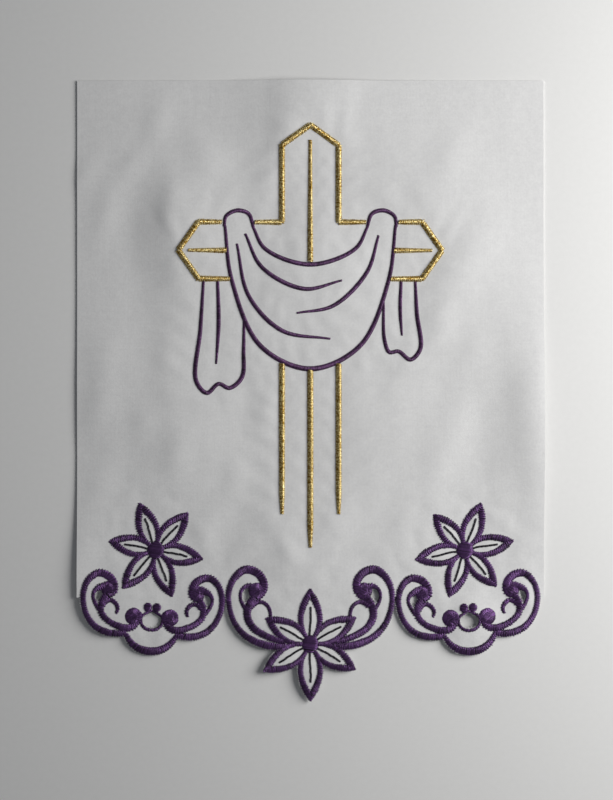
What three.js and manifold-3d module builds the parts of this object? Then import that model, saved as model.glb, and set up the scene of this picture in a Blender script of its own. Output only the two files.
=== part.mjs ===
// Altar cloth: a white sheet lying face up, with a scalloped cutwork hem, satin-stitch scrolls
// and flowers in purple, and a draped cross in gold and purple. Millimetres, +Z up, hem at -Y.
import * as THREE from 'three';
import { mergeVertices } from 'three/addons/utils/BufferGeometryUtils.js';
import Module from 'manifold-3d';

const wasm = await Module();
wasm.setup();

// Driving dimensions of the sheet
const CLOTH_WIDTH = 280;
const CLOTH_TOP = 186;
const CLOTH_FOOT = -192;
const CLOTH_THICKNESS = 1.2;
const VALLEY_Y = -124;
const GRID_COLUMNS = 28;
const GRID_ROWS = 36;
const REST_LEVEL = 0.3;

// Driving dimensions of the stitching
const THREAD_GAP = 0.4;
const SATIN_RISE = 0.95;
const LEAST_RISE = 0.55;
const CROWN_SHARE = 0.56;
const HEM_SHARE = 0.8;
const CURVE_STEP = 3.6;
const LONG_STEP = 7;
const DISC_SIDES = 14;
const CUTTER_REACH = 30;

// Places of the border motifs
const SIDE_X = 95.2;
const SIDE_Y = -138.2;
const SIDE_LIFT = 3;
const CENTRE_Y = -151.9;

// Flowers: petal lengths round from the first, and half a petal of unit length, foot to tip
const CENTRE_PETALS = [33, 30.8, 32.4, 34.35, 31.2, 31.6];
const SIDE_PETALS = [29.9, 28.4, 30.2, 29.6, 28.8, 29.6];
const SIDE_FLOWER = { x: -0.2, y: 42.5, turn: 22 };
const FLOWER_EYE = 5.25;
const FLOWER_FOOT = 8;
const VEIN = { from: 0.1, to: 0.7, w: 1.3 };
const PETAL_SIDE = [
  { r: 0.13, t: 0.078, w: 1.9 },
  { r: 0.22, t: 0.126, w: 2.3 },
  { r: 0.36, t: 0.166, w: 2.7 },
  { r: 0.52, t: 0.17, w: 2.9 },
  { r: 0.68, t: 0.13, w: 3.3 },
  { r: 0.8, t: 0.077, w: 3.6 },
  { r: 0.9, t: 0.026, w: 2.9 },
  { r: 1.0, t: 0.002, w: 0.5 },
];

// Side scallop, outer half: x runs outward from the eyelet
const EYELET_RING = [
  { x: 0, y: -5.4, w: 1.5 },
  { x: 3.3, y: -4.7, w: 1.5 },
  { x: 5.6, y: -2.6, w: 1.5 },
  { x: 6.4, y: 0.2, w: 1.5 },
  { x: 5.8, y: 2.5, w: 1.5 },
  { x: 3.1, y: 4.2, w: 1.5 },
  { x: 0, y: 5.5, w: 1.5 },
];
const SIDE_BALL = { x: 11.1, y: 2.2, r: 4.9 };
const SIDE_BEAD = { x: 2.7, y: 7.7, r: 2.5 };
const SIDE_HOLE = { x: 32.8, y: 13.9, across: 2.3, along: 3.6, lean: 12 };
const SIDE_EYE = { x: 26.2, y: 17.8, r: 4.8 };
const SIDE_OUTER = [
  { x: 26.6, y: 13.8, w: 2.8 },
  { x: 23.6, y: 16.6, w: 4.0 },
  { x: 23.8, y: 21.6, w: 4.3 },
  { x: 27.6, y: 26.0, w: 4.3 },
  { x: 33.8, y: 27.2, w: 3.9 },
  { x: 39.3, y: 22.4, w: 3.2 },
  { x: 41.7, y: 13.7, w: 2.8 },
  { x: 39.6, y: 3.0, w: 2.9 },
  { x: 34.2, y: -4.4, w: 3.3 },
  { x: 28.0, y: -7.6, w: 3.7 },
  { x: 21.6, y: -8.6, w: 3.6 },
  { x: 14.8, y: -7.9, w: 3.0 },
];
const SIDE_HEM_FROM = 6;
const SIDE_RIM = [
  { x: 27.4, y: 20.6, w: 3.4 },
  { x: 31.6, y: 19.0, w: 3.4 },
  { x: 34.9, y: 16.7, w: 1.8 },
  { x: 35.8, y: 13.2, w: 1.2 },
  { x: 34.3, y: 9.2, w: 1.5 },
  { x: 31.8, y: 5.4, w: 2.2 },
];
const SIDE_INNER = [
  { x: 27.8, y: 14.2, w: 3.8 },
  { x: 30.7, y: 8.6, w: 3.3 },
  { x: 30.3, y: 3.6, w: 3.2 },
  { x: 26.6, y: -0.6, w: 3.1 },
  { x: 21.0, y: -3.6, w: 3.5 },
  { x: 16.4, y: -5.0, w: 4.0 },
  { x: 12.2, y: -4.5, w: 3.8 },
  { x: 8.8, y: -1.9, w: 2.8 },
  { x: 7.2, y: 2.0, w: 2.0 },
];
const SIDE_TENDRIL = [
  { x: 29.6, y: 8.2, w: 2.6 },
  { x: 27.6, y: 10.6, w: 2.4 },
  { x: 24.6, y: 11.3, w: 2.2 },
  { x: 21.4, y: 8.8, w: 2.1 },
  { x: 20.6, y: 5.9, w: 1.8 },
  { x: 21.6, y: 3.4, w: 1.0 },
];
const SIDE_SMILE = [
  { x: 15.2, y: -8.2, w: 2.2 },
  { x: 12.6, y: -12.6, w: 3.2 },
  { x: 7.2, y: -16.8, w: 4.1 },
  { x: 0, y: -18.3, w: 4.5 },
];

// Centre scallop, right half: x runs outward from the flower's middle
const CENTRE_HOLE = { x: 38.8, y: 29.4, across: 2.7, along: 4.3, lean: 14 };
const CENTRE_EYE = { x: 31.9, y: 31.2, r: 5.3 };
const CENTRE_OUTER = [
  { x: 32.2, y: 27.4, w: 3.4 },
  { x: 28.6, y: 31.0, w: 4.2 },
  { x: 27.9, y: 37.0, w: 4.4 },
  { x: 32.2, y: 42.8, w: 4.6 },
  { x: 39.2, y: 44.4, w: 4.6 },
  { x: 46.0, y: 38.8, w: 3.6 },
  { x: 49.2, y: 28.7, w: 2.7 },
  { x: 45.9, y: 13.4, w: 2.9 },
  { x: 38.6, y: 4.6, w: 3.5 },
  { x: 29.1, y: 0.0, w: 4.2 },
  { x: 20.6, y: -1.5, w: 3.8 },
  { x: 14.0, y: -1.2, w: 2.6 },
];
const CENTRE_HEM_FROM = 6;
const CENTRE_RIM = [
  { x: 33.6, y: 35.4, w: 3.6 },
  { x: 38.4, y: 35.0, w: 2.6 },
  { x: 41.9, y: 31.2, w: 1.5 },
  { x: 41.7, y: 26.0, w: 1.5 },
  { x: 38.6, y: 20.4, w: 2.2 },
];
const CENTRE_INNER = [
  { x: 33.4, y: 27.6, w: 4.4 },
  { x: 37.0, y: 22.4, w: 4.2 },
  { x: 37.8, y: 16.2, w: 4.0 },
  { x: 34.0, y: 9.4, w: 3.8 },
  { x: 26.6, y: 4.8, w: 3.6 },
  { x: 19.6, y: 2.2, w: 3.0 },
  { x: 15.2, y: 1.2, w: 2.2 },
];
const CENTRE_TENDRIL = [
  { x: 35.6, y: 22.2, w: 2.8 },
  { x: 32.0, y: 24.8, w: 2.4 },
  { x: 28.4, y: 24.8, w: 2.0 },
  { x: 25.4, y: 22.4, w: 1.8 },
  { x: 24.0, y: 18.6, w: 1.7 },
  { x: 23.8, y: 15.2, w: 1.7 },
];

// Cross: a Latin cross with gabled ends and a ridge along each beam
const CROSS = { top: 159, foot: -94, arms: 84, span: 79, beam: 17, gable: 12, w: 2.8 };
const CROSS_SHOULDER = CROSS.top - CROSS.gable;
const ARM_SHOULDER = CROSS.span - CROSS.gable;
const ARM_TOP = CROSS.arms + CROSS.beam;
const ARM_FOOT = CROSS.arms - CROSS.beam;
const CROSS_HEAD = [
  { x: 0, y: CROSS.top, w: CROSS.w },
  { x: CROSS.beam, y: CROSS_SHOULDER, w: CROSS.w },
  { x: CROSS.beam, y: ARM_TOP, w: CROSS.w },
  { x: 31, y: ARM_TOP, w: 1.6 },
];
const CROSS_ARM = [
  { x: 54.5, y: ARM_TOP, w: 2.0 },
  { x: ARM_SHOULDER, y: ARM_TOP, w: CROSS.w },
  { x: CROSS.span, y: CROSS.arms, w: CROSS.w },
  { x: ARM_SHOULDER, y: ARM_FOOT, w: CROSS.w },
  { x: 49.5, y: ARM_FOOT, w: 2.0 },
];
const CROSS_LINES = [
  {
    name: 'head_ridge',
    both: false,
    points: [
      { x: 0, y: 150, w: 1.2 },
      { x: 0, y: 80, w: 2.6 },
    ],
  },
  {
    name: 'arm_ridge',
    both: true,
    points: [
      { x: 73, y: CROSS.arms, w: 1.2 },
      { x: 53.5, y: CROSS.arms, w: 2.6 },
    ],
  },
  {
    name: 'shaft_edge',
    both: true,
    points: [
      { x: CROSS.beam, y: 13.4, w: CROSS.w },
      { x: CROSS.beam, y: -62, w: 2.6 },
      { x: CROSS.beam, y: -74, w: 1.2 },
    ],
  },
  {
    name: 'shaft_ridge',
    both: false,
    points: [
      { x: 0, y: 10.6, w: CROSS.w },
      { x: 0, y: -82, w: CROSS.w },
      { x: 0, y: CROSS.foot, w: 1.2 },
    ],
  },
];

// Drape: lines of a cloth hung over both arms, with a tail at each side
const DRAPE_LINES = [
  {
    name: 'swag_edge',
    points: [
      { x: -50.5, y: 97, w: 1.6 },
      { x: -47, y: 66, w: 2.2 },
      { x: -30, y: 27, w: 2.6 },
      { x: 0, y: 13, w: 3.0 },
      { x: 30, y: 27, w: 2.6 },
      { x: 47, y: 66, w: 2.2 },
      { x: 50.5, y: 97, w: 1.6 },
    ],
  },
  {
    name: 'swag_top',
    points: [
      { x: -35.5, y: 97, w: 1.4 },
      { x: -27, y: 85, w: 2.2 },
      { x: 0, y: 75.5, w: 2.6 },
      { x: 27, y: 85, w: 2.2 },
      { x: 35.5, y: 97, w: 1.4 },
    ],
  },
  {
    name: 'fold_high',
    points: [
      { x: -39, y: 94, w: 1.2 },
      { x: -29, y: 74, w: 2.2 },
      { x: -4, y: 61, w: 2.4 },
      { x: 19, y: 66, w: 1.0 },
    ],
  },
  {
    name: 'fold_right',
    points: [
      { x: 41, y: 93, w: 1.2 },
      { x: 34, y: 71, w: 2.2 },
      { x: 14, y: 51, w: 2.2 },
      { x: -8, y: 46.5, w: 1.0 },
    ],
  },
  {
    name: 'fold_low',
    points: [
      { x: -44, y: 88, w: 1.2 },
      { x: -37, y: 57, w: 2.2 },
      { x: -17, y: 36, w: 2.4 },
      { x: 12, y: 31, w: 1.0 },
    ],
  },
  {
    name: 'loop_left',
    points: [
      { x: -33.5, y: 99.5, w: 1.4 },
      { x: -37, y: 106, w: 2.2 },
      { x: -44, y: 108, w: 2.4 },
      { x: -50.5, y: 104.5, w: 2.0 },
      { x: -52.2, y: 99, w: 1.2 },
    ],
  },
  {
    name: 'loop_right',
    points: [
      { x: 33.5, y: 99.5, w: 1.4 },
      { x: 37, y: 106, w: 2.2 },
      { x: 44, y: 108, w: 2.4 },
      { x: 50.5, y: 104.5, w: 2.0 },
      { x: 52.2, y: 99, w: 1.2 },
    ],
  },
  {
    name: 'tail_left',
    points: [
      { x: -64, y: 63, w: 1.4 },
      { x: -66, y: 36, w: 2.2 },
      { x: -68.5, y: 6, w: 2.4 },
      { x: -62, y: -1.5, w: 2.4 },
      { x: -55, y: 4, w: 2.2 },
      { x: -48.5, y: 1.5, w: 2.4 },
      { x: -41, y: 8, w: 2.4 },
      { x: -40, y: 24, w: 2.0 },
      { x: -40.4, y: 37.6, w: 1.2 },
    ],
  },
  {
    name: 'tail_left_fold',
    points: [
      { x: -55.5, y: 63, w: 1.6 },
      { x: -55, y: 40, w: 2.2 },
      { x: -56.5, y: 16, w: 1.0 },
    ],
  },
  {
    name: 'tail_right',
    points: [
      { x: 63, y: 63, w: 1.4 },
      { x: 64, y: 46, w: 2.2 },
      { x: 66, y: 25, w: 2.4 },
      { x: 60, y: 18.5, w: 2.4 },
      { x: 53, y: 23.5, w: 2.2 },
      { x: 47.5, y: 23, w: 2.2 },
      { x: 44.5, y: 31, w: 2.0 },
      { x: 45, y: 45, w: 1.2 },
    ],
  },
  {
    name: 'tail_right_fold',
    points: [
      { x: 54.5, y: 63, w: 1.6 },
      { x: 54, y: 48, w: 2.0 },
      { x: 55, y: 33, w: 1.0 },
    ],
  },
];

// Folds the sheet lies in: crest middle, turn of the crest from the length, half length,
// width of the left and right slopes, and height
const FOLDS = [
  { x: -79, y: 92, turn: 2, reach: 42, left: 19, right: 30, rise: 3.2 },
  { x: -78, y: -22, turn: -4, reach: 38, left: 22, right: 30, rise: 2.0 },
  { x: -120, y: -4, turn: 3, reach: 46, left: 26, right: 24, rise: 1.0 },
  { x: -4, y: 176, turn: -14, reach: 36, left: 32, right: 38, rise: 3.6 },
  { x: 76, y: 118, turn: 16, reach: 46, left: 38, right: 32, rise: 1.6 },
  { x: 42, y: -36, turn: -6, reach: 44, left: 28, right: 60, rise: 1.5 },
  { x: 138, y: -26, turn: 3, reach: 58, left: 27, right: 20, rise: 5.0 },
  { x: 90, y: 66, turn: -30, reach: 38, left: 20, right: 30, rise: 1.5 },
  { x: -12, y: -86, turn: 8, reach: 30, left: 30, right: 30, rise: 1.6 },
  { x: -28, y: -170, turn: -40, reach: 34, left: 26, right: 30, rise: 1.3 },
  { x: -144, y: -118, turn: 8, reach: 46, left: 30, right: 32, rise: 2.0 },
  { x: 104, y: -152, turn: 80, reach: 44, left: 26, right: 26, rise: 0.5 },
  { x: 0, y: -165, turn: 90, reach: 170, left: 60, right: 44, rise: 1.1 },
  { x: 6, y: 82, turn: 4, reach: 34, left: 44, right: 28, rise: 1.9 },
];

// Height of the underside above the surface: zero where the sheet lies flat
function foldHeight(x, y) {
  let height = -REST_LEVEL;
  for (const fold of FOLDS) {
    const turn = THREE.MathUtils.degToRad(fold.turn);
    const across = (x - fold.x) * Math.cos(turn) + (y - fold.y) * Math.sin(turn);
    const along = (y - fold.y) * Math.cos(turn) - (x - fold.x) * Math.sin(turn);
    const width = across < 0 ? fold.left : fold.right;
    height += fold.rise * Math.exp(-((across / width) ** 2) - (along / fold.reach) ** 2);
  }
  return Math.max(0, height);
}

// Height of the faceted upper face, so that the stitching follows the facets of the sheet
const CELL_WIDTH = CLOTH_WIDTH / GRID_COLUMNS;
const CELL_LENGTH = (CLOTH_TOP - CLOTH_FOOT) / GRID_ROWS;

function clothTop(x, y) {
  const column = THREE.MathUtils.clamp(Math.floor((x + CLOTH_WIDTH / 2) / CELL_WIDTH), 0, GRID_COLUMNS - 1);
  const row = THREE.MathUtils.clamp(Math.floor((y - CLOTH_FOOT) / CELL_LENGTH), 0, GRID_ROWS - 1);
  const left = column * CELL_WIDTH - CLOTH_WIDTH / 2;
  const foot = row * CELL_LENGTH + CLOTH_FOOT;
  const u = (x - left) / CELL_WIDTH;
  const v = (y - foot) / CELL_LENGTH;
  const lowLeft = foldHeight(left, foot);
  const highRight = foldHeight(left + CELL_WIDTH, foot + CELL_LENGTH);
  const highLeft = foldHeight(left, foot + CELL_LENGTH);
  const lowRight = foldHeight(left + CELL_WIDTH, foot);
  const upper = highLeft + u * (highRight - highLeft) + (1 - v) * (lowLeft - highLeft);
  const lower = lowRight + (1 - u) * (lowLeft - lowRight) + v * (highRight - lowRight);
  return CLOTH_THICKNESS + (v > u ? upper : lower);
}

// Solids for joining and cutting
function toSolid(geometry) {
  geometry.deleteAttribute('normal');
  geometry.deleteAttribute('uv');
  const merged = mergeVertices(geometry, 1e-5);
  const vertProperties = new Float32Array(merged.attributes.position.array);
  const triVerts = new Uint32Array(merged.index.array);
  return new wasm.Manifold(new wasm.Mesh({ numProp: 3, vertProperties, triVerts }));
}

function join(solids) {
  return solids.reduce((whole, solid) => whole.add(solid));
}

function toMesh(name, solid, material) {
  const data = solid.getMesh();
  const geometry = new THREE.BufferGeometry();
  geometry.setAttribute('position', new THREE.BufferAttribute(new Float32Array(data.vertProperties), 3));
  geometry.setIndex(new THREE.BufferAttribute(new Uint32Array(data.triVerts), 1));
  geometry.computeVertexNormals();
  const mesh = new THREE.Mesh(geometry, material);
  mesh.name = name;
  return mesh;
}

// Placing of a motif: mirrored by side, turned so its outer end lifts, then moved
function placer(x, y, lift, side) {
  const turn = THREE.MathUtils.degToRad(lift);
  return (point) => ({
    ...point,
    x: side * (x + point.x * Math.cos(turn) - point.y * Math.sin(turn)),
    y: y + point.x * Math.sin(turn) + point.y * Math.cos(turn),
  });
}

// Stations along a row of points: place, width and the direction across
function smoothStations(points, step, closed = false) {
  const knots = points.map((p) => new THREE.Vector3(p.x, p.y, p.w));
  const curve = new THREE.CatmullRomCurve3(knots, closed, 'centripetal');
  const flat = new THREE.CatmullRomCurve3(points.map((p) => new THREE.Vector3(p.x, p.y, 0)), closed);
  const count = Math.max(2, Math.ceil(flat.getLength() / step));
  const stations = [];
  for (let i = 0; i < (closed ? count : count + 1); i += 1) {
    const t = i / count;
    const at = curve.getPoint(t);
    const ahead = curve.getTangent(t).setZ(0).normalize();
    stations.push({ t, x: at.x, y: at.y, w: at.z, across: { x: -ahead.y, y: ahead.x } });
  }
  return stations;
}

function sharpStations(points, step) {
  const stations = [];
  const ahead = points.slice(1).map((p, i) => new THREE.Vector2(p.x - points[i].x, p.y - points[i].y));
  const normals = ahead.map((d) => new THREE.Vector2(-d.y, d.x).normalize());
  points.forEach((point, i) => {
    const before = normals[Math.max(0, i - 1)];
    const after = normals[Math.min(i, normals.length - 1)];
    const middle = before.clone().add(after).normalize();
    stations.push({ ...point, across: middle.divideScalar(middle.dot(after)) });
    if (i === points.length - 1) return;
    const next = points[i + 1];
    const parts = Math.ceil(ahead[i].length() / step);
    for (let k = 1; k < parts; k += 1) {
      const mix = (key) => THREE.MathUtils.lerp(point[key], next[key], k / parts);
      stations.push({ x: mix('x'), y: mix('y'), w: mix('w'), across: after });
    }
  });
  return stations;
}

function edgePoint(station, reach) {
  const shift = (station.w / 2) * reach;
  return { x: station.x + station.across.x * shift, y: station.y + station.across.y * shift };
}

// A band of satin stitch as four lines, end to end: two feet and two crown lines
function bandGeometry(stations, closed, sections) {
  const positions = [];
  for (const station of stations) {
    positions.push(...sections(station));
  }
  const index = [];
  const spans = closed ? stations.length : stations.length - 1;
  for (let i = 0; i < spans; i += 1) {
    const here = i * 4;
    const next = ((i + 1) % stations.length) * 4;
    for (let k = 0; k < 4; k += 1) {
      const m = (k + 1) % 4;
      index.push(here + k, next + m, here + m, here + k, next + k, next + m);
    }
  }
  if (!closed) {
    const end = (stations.length - 1) * 4;
    index.push(0, 1, 2, 0, 2, 3);
    index.push(end, end + 2, end + 1, end, end + 3, end + 2);
  }
  const geometry = new THREE.BufferGeometry();
  geometry.setAttribute('position', new THREE.Float32BufferAttribute(positions, 3));
  geometry.setIndex(index);
  return geometry;
}

// A single line of stitching, crowned and laid on the sheet
function lineSolid(stations) {
  return toSolid(
    bandGeometry(stations, false, (station) => {
      const rise = Math.min(SATIN_RISE, Math.max(LEAST_RISE, station.w * 0.34));
      const feet = [[1, 0], [-1, 0], [-CROWN_SHARE, rise], [CROWN_SHARE, rise]];
      return feet.flatMap(([reach, lift]) => {
        const point = edgePoint(station, reach);
        return [point.x, point.y, clothTop(point.x, point.y) + THREAD_GAP + lift];
      });
    }),
  );
}

// Parts of a motif are joined flat, and the whole motif is then laid on the sheet
function bandSolid(stations, closed = false) {
  return toSolid(
    bandGeometry(stations, closed, (station) => {
      const feet = [[1, 0], [-1, 0], [-1, SATIN_RISE], [1, SATIN_RISE]];
      return feet.flatMap(([reach, lift]) => {
        const point = edgePoint(station, reach);
        return [point.x, point.y, lift];
      });
    }),
  );
}

function discSolid(disc) {
  const geometry = new THREE.CylinderGeometry(disc.r, disc.r, SATIN_RISE, DISC_SIDES);
  geometry.rotateX(Math.PI / 2);
  geometry.translate(disc.x, disc.y, SATIN_RISE / 2);
  return toSolid(geometry);
}

function laidMesh(name, solids, material) {
  const mesh = toMesh(name, join(solids), material);
  const place = mesh.geometry.attributes.position;
  for (let i = 0; i < place.count; i += 1) {
    place.setZ(i, place.getZ(i) + clothTop(place.getX(i), place.getY(i)) + THREAD_GAP);
  }
  mesh.geometry.computeVertexNormals();
  return mesh;
}

// Cutters and outlines that stand through the sheet
function plateSolid(points) {
  const shape = new THREE.Shape(points.map((p) => new THREE.Vector2(p.x, p.y)));
  const geometry = new THREE.ExtrudeGeometry(shape, { depth: CUTTER_REACH * 2, bevelEnabled: false });
  geometry.translate(0, 0, -CUTTER_REACH);
  return toSolid(geometry);
}

function ovalPoints(oval, place) {
  const lean = THREE.MathUtils.degToRad(oval.lean);
  const curve = new THREE.EllipseCurve(oval.x, oval.y, oval.across, oval.along, 0, Math.PI * 2, false, lean);
  return curve.getPoints(20).slice(0, -1).map((p) => place({ x: p.x, y: p.y }));
}

// Flower parts, from its middle and turn
function petalPlace(middle, turn, lengths, petal, side) {
  const length = lengths[petal];
  const angle = THREE.MathUtils.degToRad(90 + turn + (petal * 360) / lengths.length);
  return (row) => ({
    x: middle.x + length * (row.r * Math.cos(angle) - side * row.t * Math.sin(angle)),
    y: middle.y + length * (row.r * Math.sin(angle) + side * row.t * Math.cos(angle)),
    w: row.w,
  });
}

function flowerSolids(middle, turn, lengths) {
  const solids = [discSolid({ ...middle, r: FLOWER_EYE })];
  lengths.forEach((length, petal) => {
    for (const side of [-1, 1]) {
      const points = PETAL_SIDE.map(petalPlace(middle, turn, lengths, petal, side));
      solids.push(bandSolid(smoothStations(points, CURVE_STEP + 1)));
    }
    const vein = [VEIN.from, (VEIN.from + VEIN.to) / 2, VEIN.to].map((r) => ({ r, t: 0, w: VEIN.w }));
    solids.push(bandSolid(sharpStations(vein.map(petalPlace(middle, turn, lengths, petal, 1)), length)));
  });
  return solids;
}

function petalOutline(middle, turn, lengths, petal) {
  const half = (side) => {
    const points = PETAL_SIDE.map(petalPlace(middle, turn, lengths, petal, side));
    return smoothStations(points, CURVE_STEP + 1).map((station) => edgePoint(station, side * HEM_SHARE));
  };
  return [...half(1), ...half(-1).reverse()];
}

// The hem edge of a scallop, from its outer end on one side to the other
function hemHalf(rows, from) {
  const stations = smoothStations(rows, CURVE_STEP);
  const kept = stations.filter((station) => station.t > (from - 0.4) / (rows.length - 1));
  return kept.map((station) => edgePoint(station, HEM_SHARE));
}

function mirrored(points) {
  return points.map((p) => ({ ...p, x: -p.x }));
}

function smileRow() {
  return [...SIDE_SMILE, ...mirrored(SIDE_SMILE).reverse().slice(1)];
}

function sideOutline(place) {
  const half = [{ x: 37, y: 32 }, ...hemHalf(SIDE_OUTER, SIDE_HEM_FROM)];
  const smile = smoothStations(smileRow(), CURVE_STEP).map((station) => edgePoint(station, HEM_SHARE));
  return [...half, ...smile.slice(1, -1), ...mirrored(half).reverse()].map(place);
}

function centreOutline(place) {
  const half = [{ x: 44, y: 48 }, ...hemHalf(CENTRE_OUTER, CENTRE_HEM_FROM)];
  return [...half, ...mirrored(half).reverse()].map(place);
}

// Border embroidery
function scrollSolids(rows, place) {
  const bands = [rows.outer, rows.rim, rows.inner, rows.tendril];
  const solids = bands.map((row) => bandSolid(smoothStations(row.map(place), CURVE_STEP)));
  return [...solids, discSolid(place(rows.eye))];
}

const SIDE_SCROLL = {
  outer: SIDE_OUTER,
  rim: SIDE_RIM,
  inner: SIDE_INNER,
  tendril: SIDE_TENDRIL,
  eye: SIDE_EYE,
};
const CENTRE_SCROLL = {
  outer: CENTRE_OUTER,
  rim: CENTRE_RIM,
  inner: CENTRE_INNER,
  tendril: CENTRE_TENDRIL,
  eye: CENTRE_EYE,
};

function mirrorPlace(place) {
  return (point) => place({ ...point, x: -point.x });
}

function eyeletRow() {
  return [...EYELET_RING, ...mirrored(EYELET_RING).reverse().slice(1, -1)];
}

function eyeletHole() {
  return smoothStations(eyeletRow(), 2.2, true).map((station) => edgePoint(station, 1));
}

function sideSolids(place) {
  const solids = [];
  for (const half of [place, mirrorPlace(place)]) {
    solids.push(...scrollSolids(SIDE_SCROLL, half));
    solids.push(discSolid(half(SIDE_BALL)), discSolid(half(SIDE_BEAD)));
  }
  solids.push(bandSolid(smoothStations(smileRow().map(place), CURVE_STEP)));
  solids.push(bandSolid(smoothStations(eyeletRow().map(place), 2.2, true), true));
  return solids;
}

// Materials
const clothMaterial = new THREE.MeshStandardMaterial({ color: 0xe9e8e6, roughness: 0.85, metalness: 0 });
const purpleMaterial = new THREE.MeshStandardMaterial({ color: 0x4b2a63, roughness: 0.5, metalness: 0 });
const goldMaterial = new THREE.MeshStandardMaterial({ color: 0xb8963c, roughness: 0.4, metalness: 0.7 });
clothMaterial.name = 'white_cotton';
purpleMaterial.name = 'purple_thread';
goldMaterial.name = 'gold_thread';

// Sheet: a slab laid in its folds, cut to the scalloped outline and its eyes
function clothSolid() {
  const length = CLOTH_TOP - CLOTH_FOOT;
  const slab = new THREE.BoxGeometry(CLOTH_WIDTH, length, CLOTH_THICKNESS, GRID_COLUMNS, GRID_ROWS, 1);
  slab.translate(0, CLOTH_FOOT + length / 2, CLOTH_THICKNESS / 2);
  const place = slab.attributes.position;
  for (let i = 0; i < place.count; i += 1) {
    place.setZ(i, place.getZ(i) + foldHeight(place.getX(i), place.getY(i)));
  }
  const wide = CLOTH_WIDTH / 2 + 10;
  const centre = placer(0, CENTRE_Y, 0, 1);
  const outlines = [
    [
      { x: -wide, y: VALLEY_Y },
      { x: wide, y: VALLEY_Y },
      { x: wide, y: CLOTH_TOP + 10 },
      { x: -wide, y: CLOTH_TOP + 10 },
    ],
    centreOutline(centre),
  ];
  const holes = [];
  for (const side of [-1, 1]) {
    const sidePlace = placer(SIDE_X, SIDE_Y, SIDE_LIFT, side);
    outlines.push(sideOutline(sidePlace));
    holes.push(eyeletHole().map(sidePlace));
    holes.push(ovalPoints(SIDE_HOLE, sidePlace), ovalPoints(SIDE_HOLE, mirrorPlace(sidePlace)));
    holes.push(ovalPoints(CENTRE_HOLE, placer(0, CENTRE_Y, 0, side)));
  }
  const flowerFoot = { x: 0, y: 0, across: FLOWER_FOOT, along: FLOWER_FOOT, lean: 0 };
  outlines.push(ovalPoints(flowerFoot, centre));
  for (const petal of [2, 3, 4]) {
    outlines.push(petalOutline({ x: 0, y: CENTRE_Y }, 0, CENTRE_PETALS, petal));
  }
  const outline = join(outlines.map(plateSolid));
  return toSolid(slab).intersect(outline).subtract(join(holes.map(plateSolid)));
}

const part = new THREE.Group();
part.name = 'altar_cloth';
part.add(toMesh('cloth', clothSolid(), clothMaterial));

// Border
const border = new THREE.Group();
border.name = 'border';
for (const [side, word] of [[-1, 'left'], [1, 'right']]) {
  const place = placer(SIDE_X, SIDE_Y, SIDE_LIFT, side);
  border.add(laidMesh(`scallop_${word}`, sideSolids(place), purpleMaterial));
  const middle = place({ x: SIDE_FLOWER.x, y: SIDE_FLOWER.y });
  const turn = -side * (SIDE_FLOWER.turn - SIDE_LIFT);
  border.add(laidMesh(`flower_${word}`, flowerSolids(middle, turn, SIDE_PETALS), purpleMaterial));
}
const centreSolids = flowerSolids({ x: 0, y: CENTRE_Y }, 0, CENTRE_PETALS);
for (const side of [-1, 1]) {
  centreSolids.push(...scrollSolids(CENTRE_SCROLL, placer(0, CENTRE_Y, 0, side)));
}
border.add(laidMesh('scallop_centre', centreSolids, purpleMaterial));
part.add(border);

// Cross
const cross = new THREE.Group();
cross.name = 'cross';
const head = [...mirrored(CROSS_HEAD).reverse().slice(0, -1), ...CROSS_HEAD];
cross.add(toMesh('cross_head', lineSolid(sharpStations(head, LONG_STEP)), goldMaterial));
for (const [side, word] of [[-1, 'left'], [1, 'right']]) {
  const arm = CROSS_ARM.map((p) => ({ ...p, x: side * p.x }));
  cross.add(toMesh(`cross_arm_${word}`, lineSolid(sharpStations(arm, LONG_STEP)), goldMaterial));
}
for (const line of CROSS_LINES) {
  for (const side of line.both ? [-1, 1] : [1]) {
    const row = line.points.map((p) => ({ ...p, x: side * p.x }));
    const tail = line.both ? (side < 0 ? '_left' : '_right') : '';
    const solid = lineSolid(sharpStations(row, LONG_STEP));
    cross.add(toMesh(`cross_${line.name}${tail}`, solid, goldMaterial));
  }
}
part.add(cross);

// Drape
const drape = new THREE.Group();
drape.name = 'drape';
for (const line of DRAPE_LINES) {
  const solid = lineSolid(smoothStations(line.points, LONG_STEP - 1.5));
  drape.add(toMesh(`drape_${line.name}`, solid, purpleMaterial));
}
part.add(drape);

export default part;
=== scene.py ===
import math
from collections import namedtuple
import bpy
import numpy as np
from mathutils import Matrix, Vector, kdtree
from mathutils.geometry import delaunay_2d_cdt


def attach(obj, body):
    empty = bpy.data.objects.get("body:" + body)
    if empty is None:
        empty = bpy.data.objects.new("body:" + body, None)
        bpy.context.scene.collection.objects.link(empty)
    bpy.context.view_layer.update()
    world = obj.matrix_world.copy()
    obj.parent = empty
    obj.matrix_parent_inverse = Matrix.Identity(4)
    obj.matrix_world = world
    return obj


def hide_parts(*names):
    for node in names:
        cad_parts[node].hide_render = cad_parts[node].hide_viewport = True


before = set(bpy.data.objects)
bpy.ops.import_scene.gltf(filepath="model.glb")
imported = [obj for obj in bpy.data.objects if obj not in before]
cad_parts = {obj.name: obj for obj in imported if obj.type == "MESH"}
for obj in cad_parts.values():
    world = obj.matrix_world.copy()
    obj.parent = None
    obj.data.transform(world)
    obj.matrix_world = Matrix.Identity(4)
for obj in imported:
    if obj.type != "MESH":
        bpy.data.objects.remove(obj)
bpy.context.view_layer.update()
luck = np.random.default_rng(20)
MM = 0.001

# Sheet, in millimetres: width, top edge, the line where the scallops meet, thickness, the gap under it
CLOTH_WIDTH, CLOTH_TOP = 280.0, 186.0
VALLEY = -124.0
THICK = 0.55
UNDER = 0.1

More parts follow.
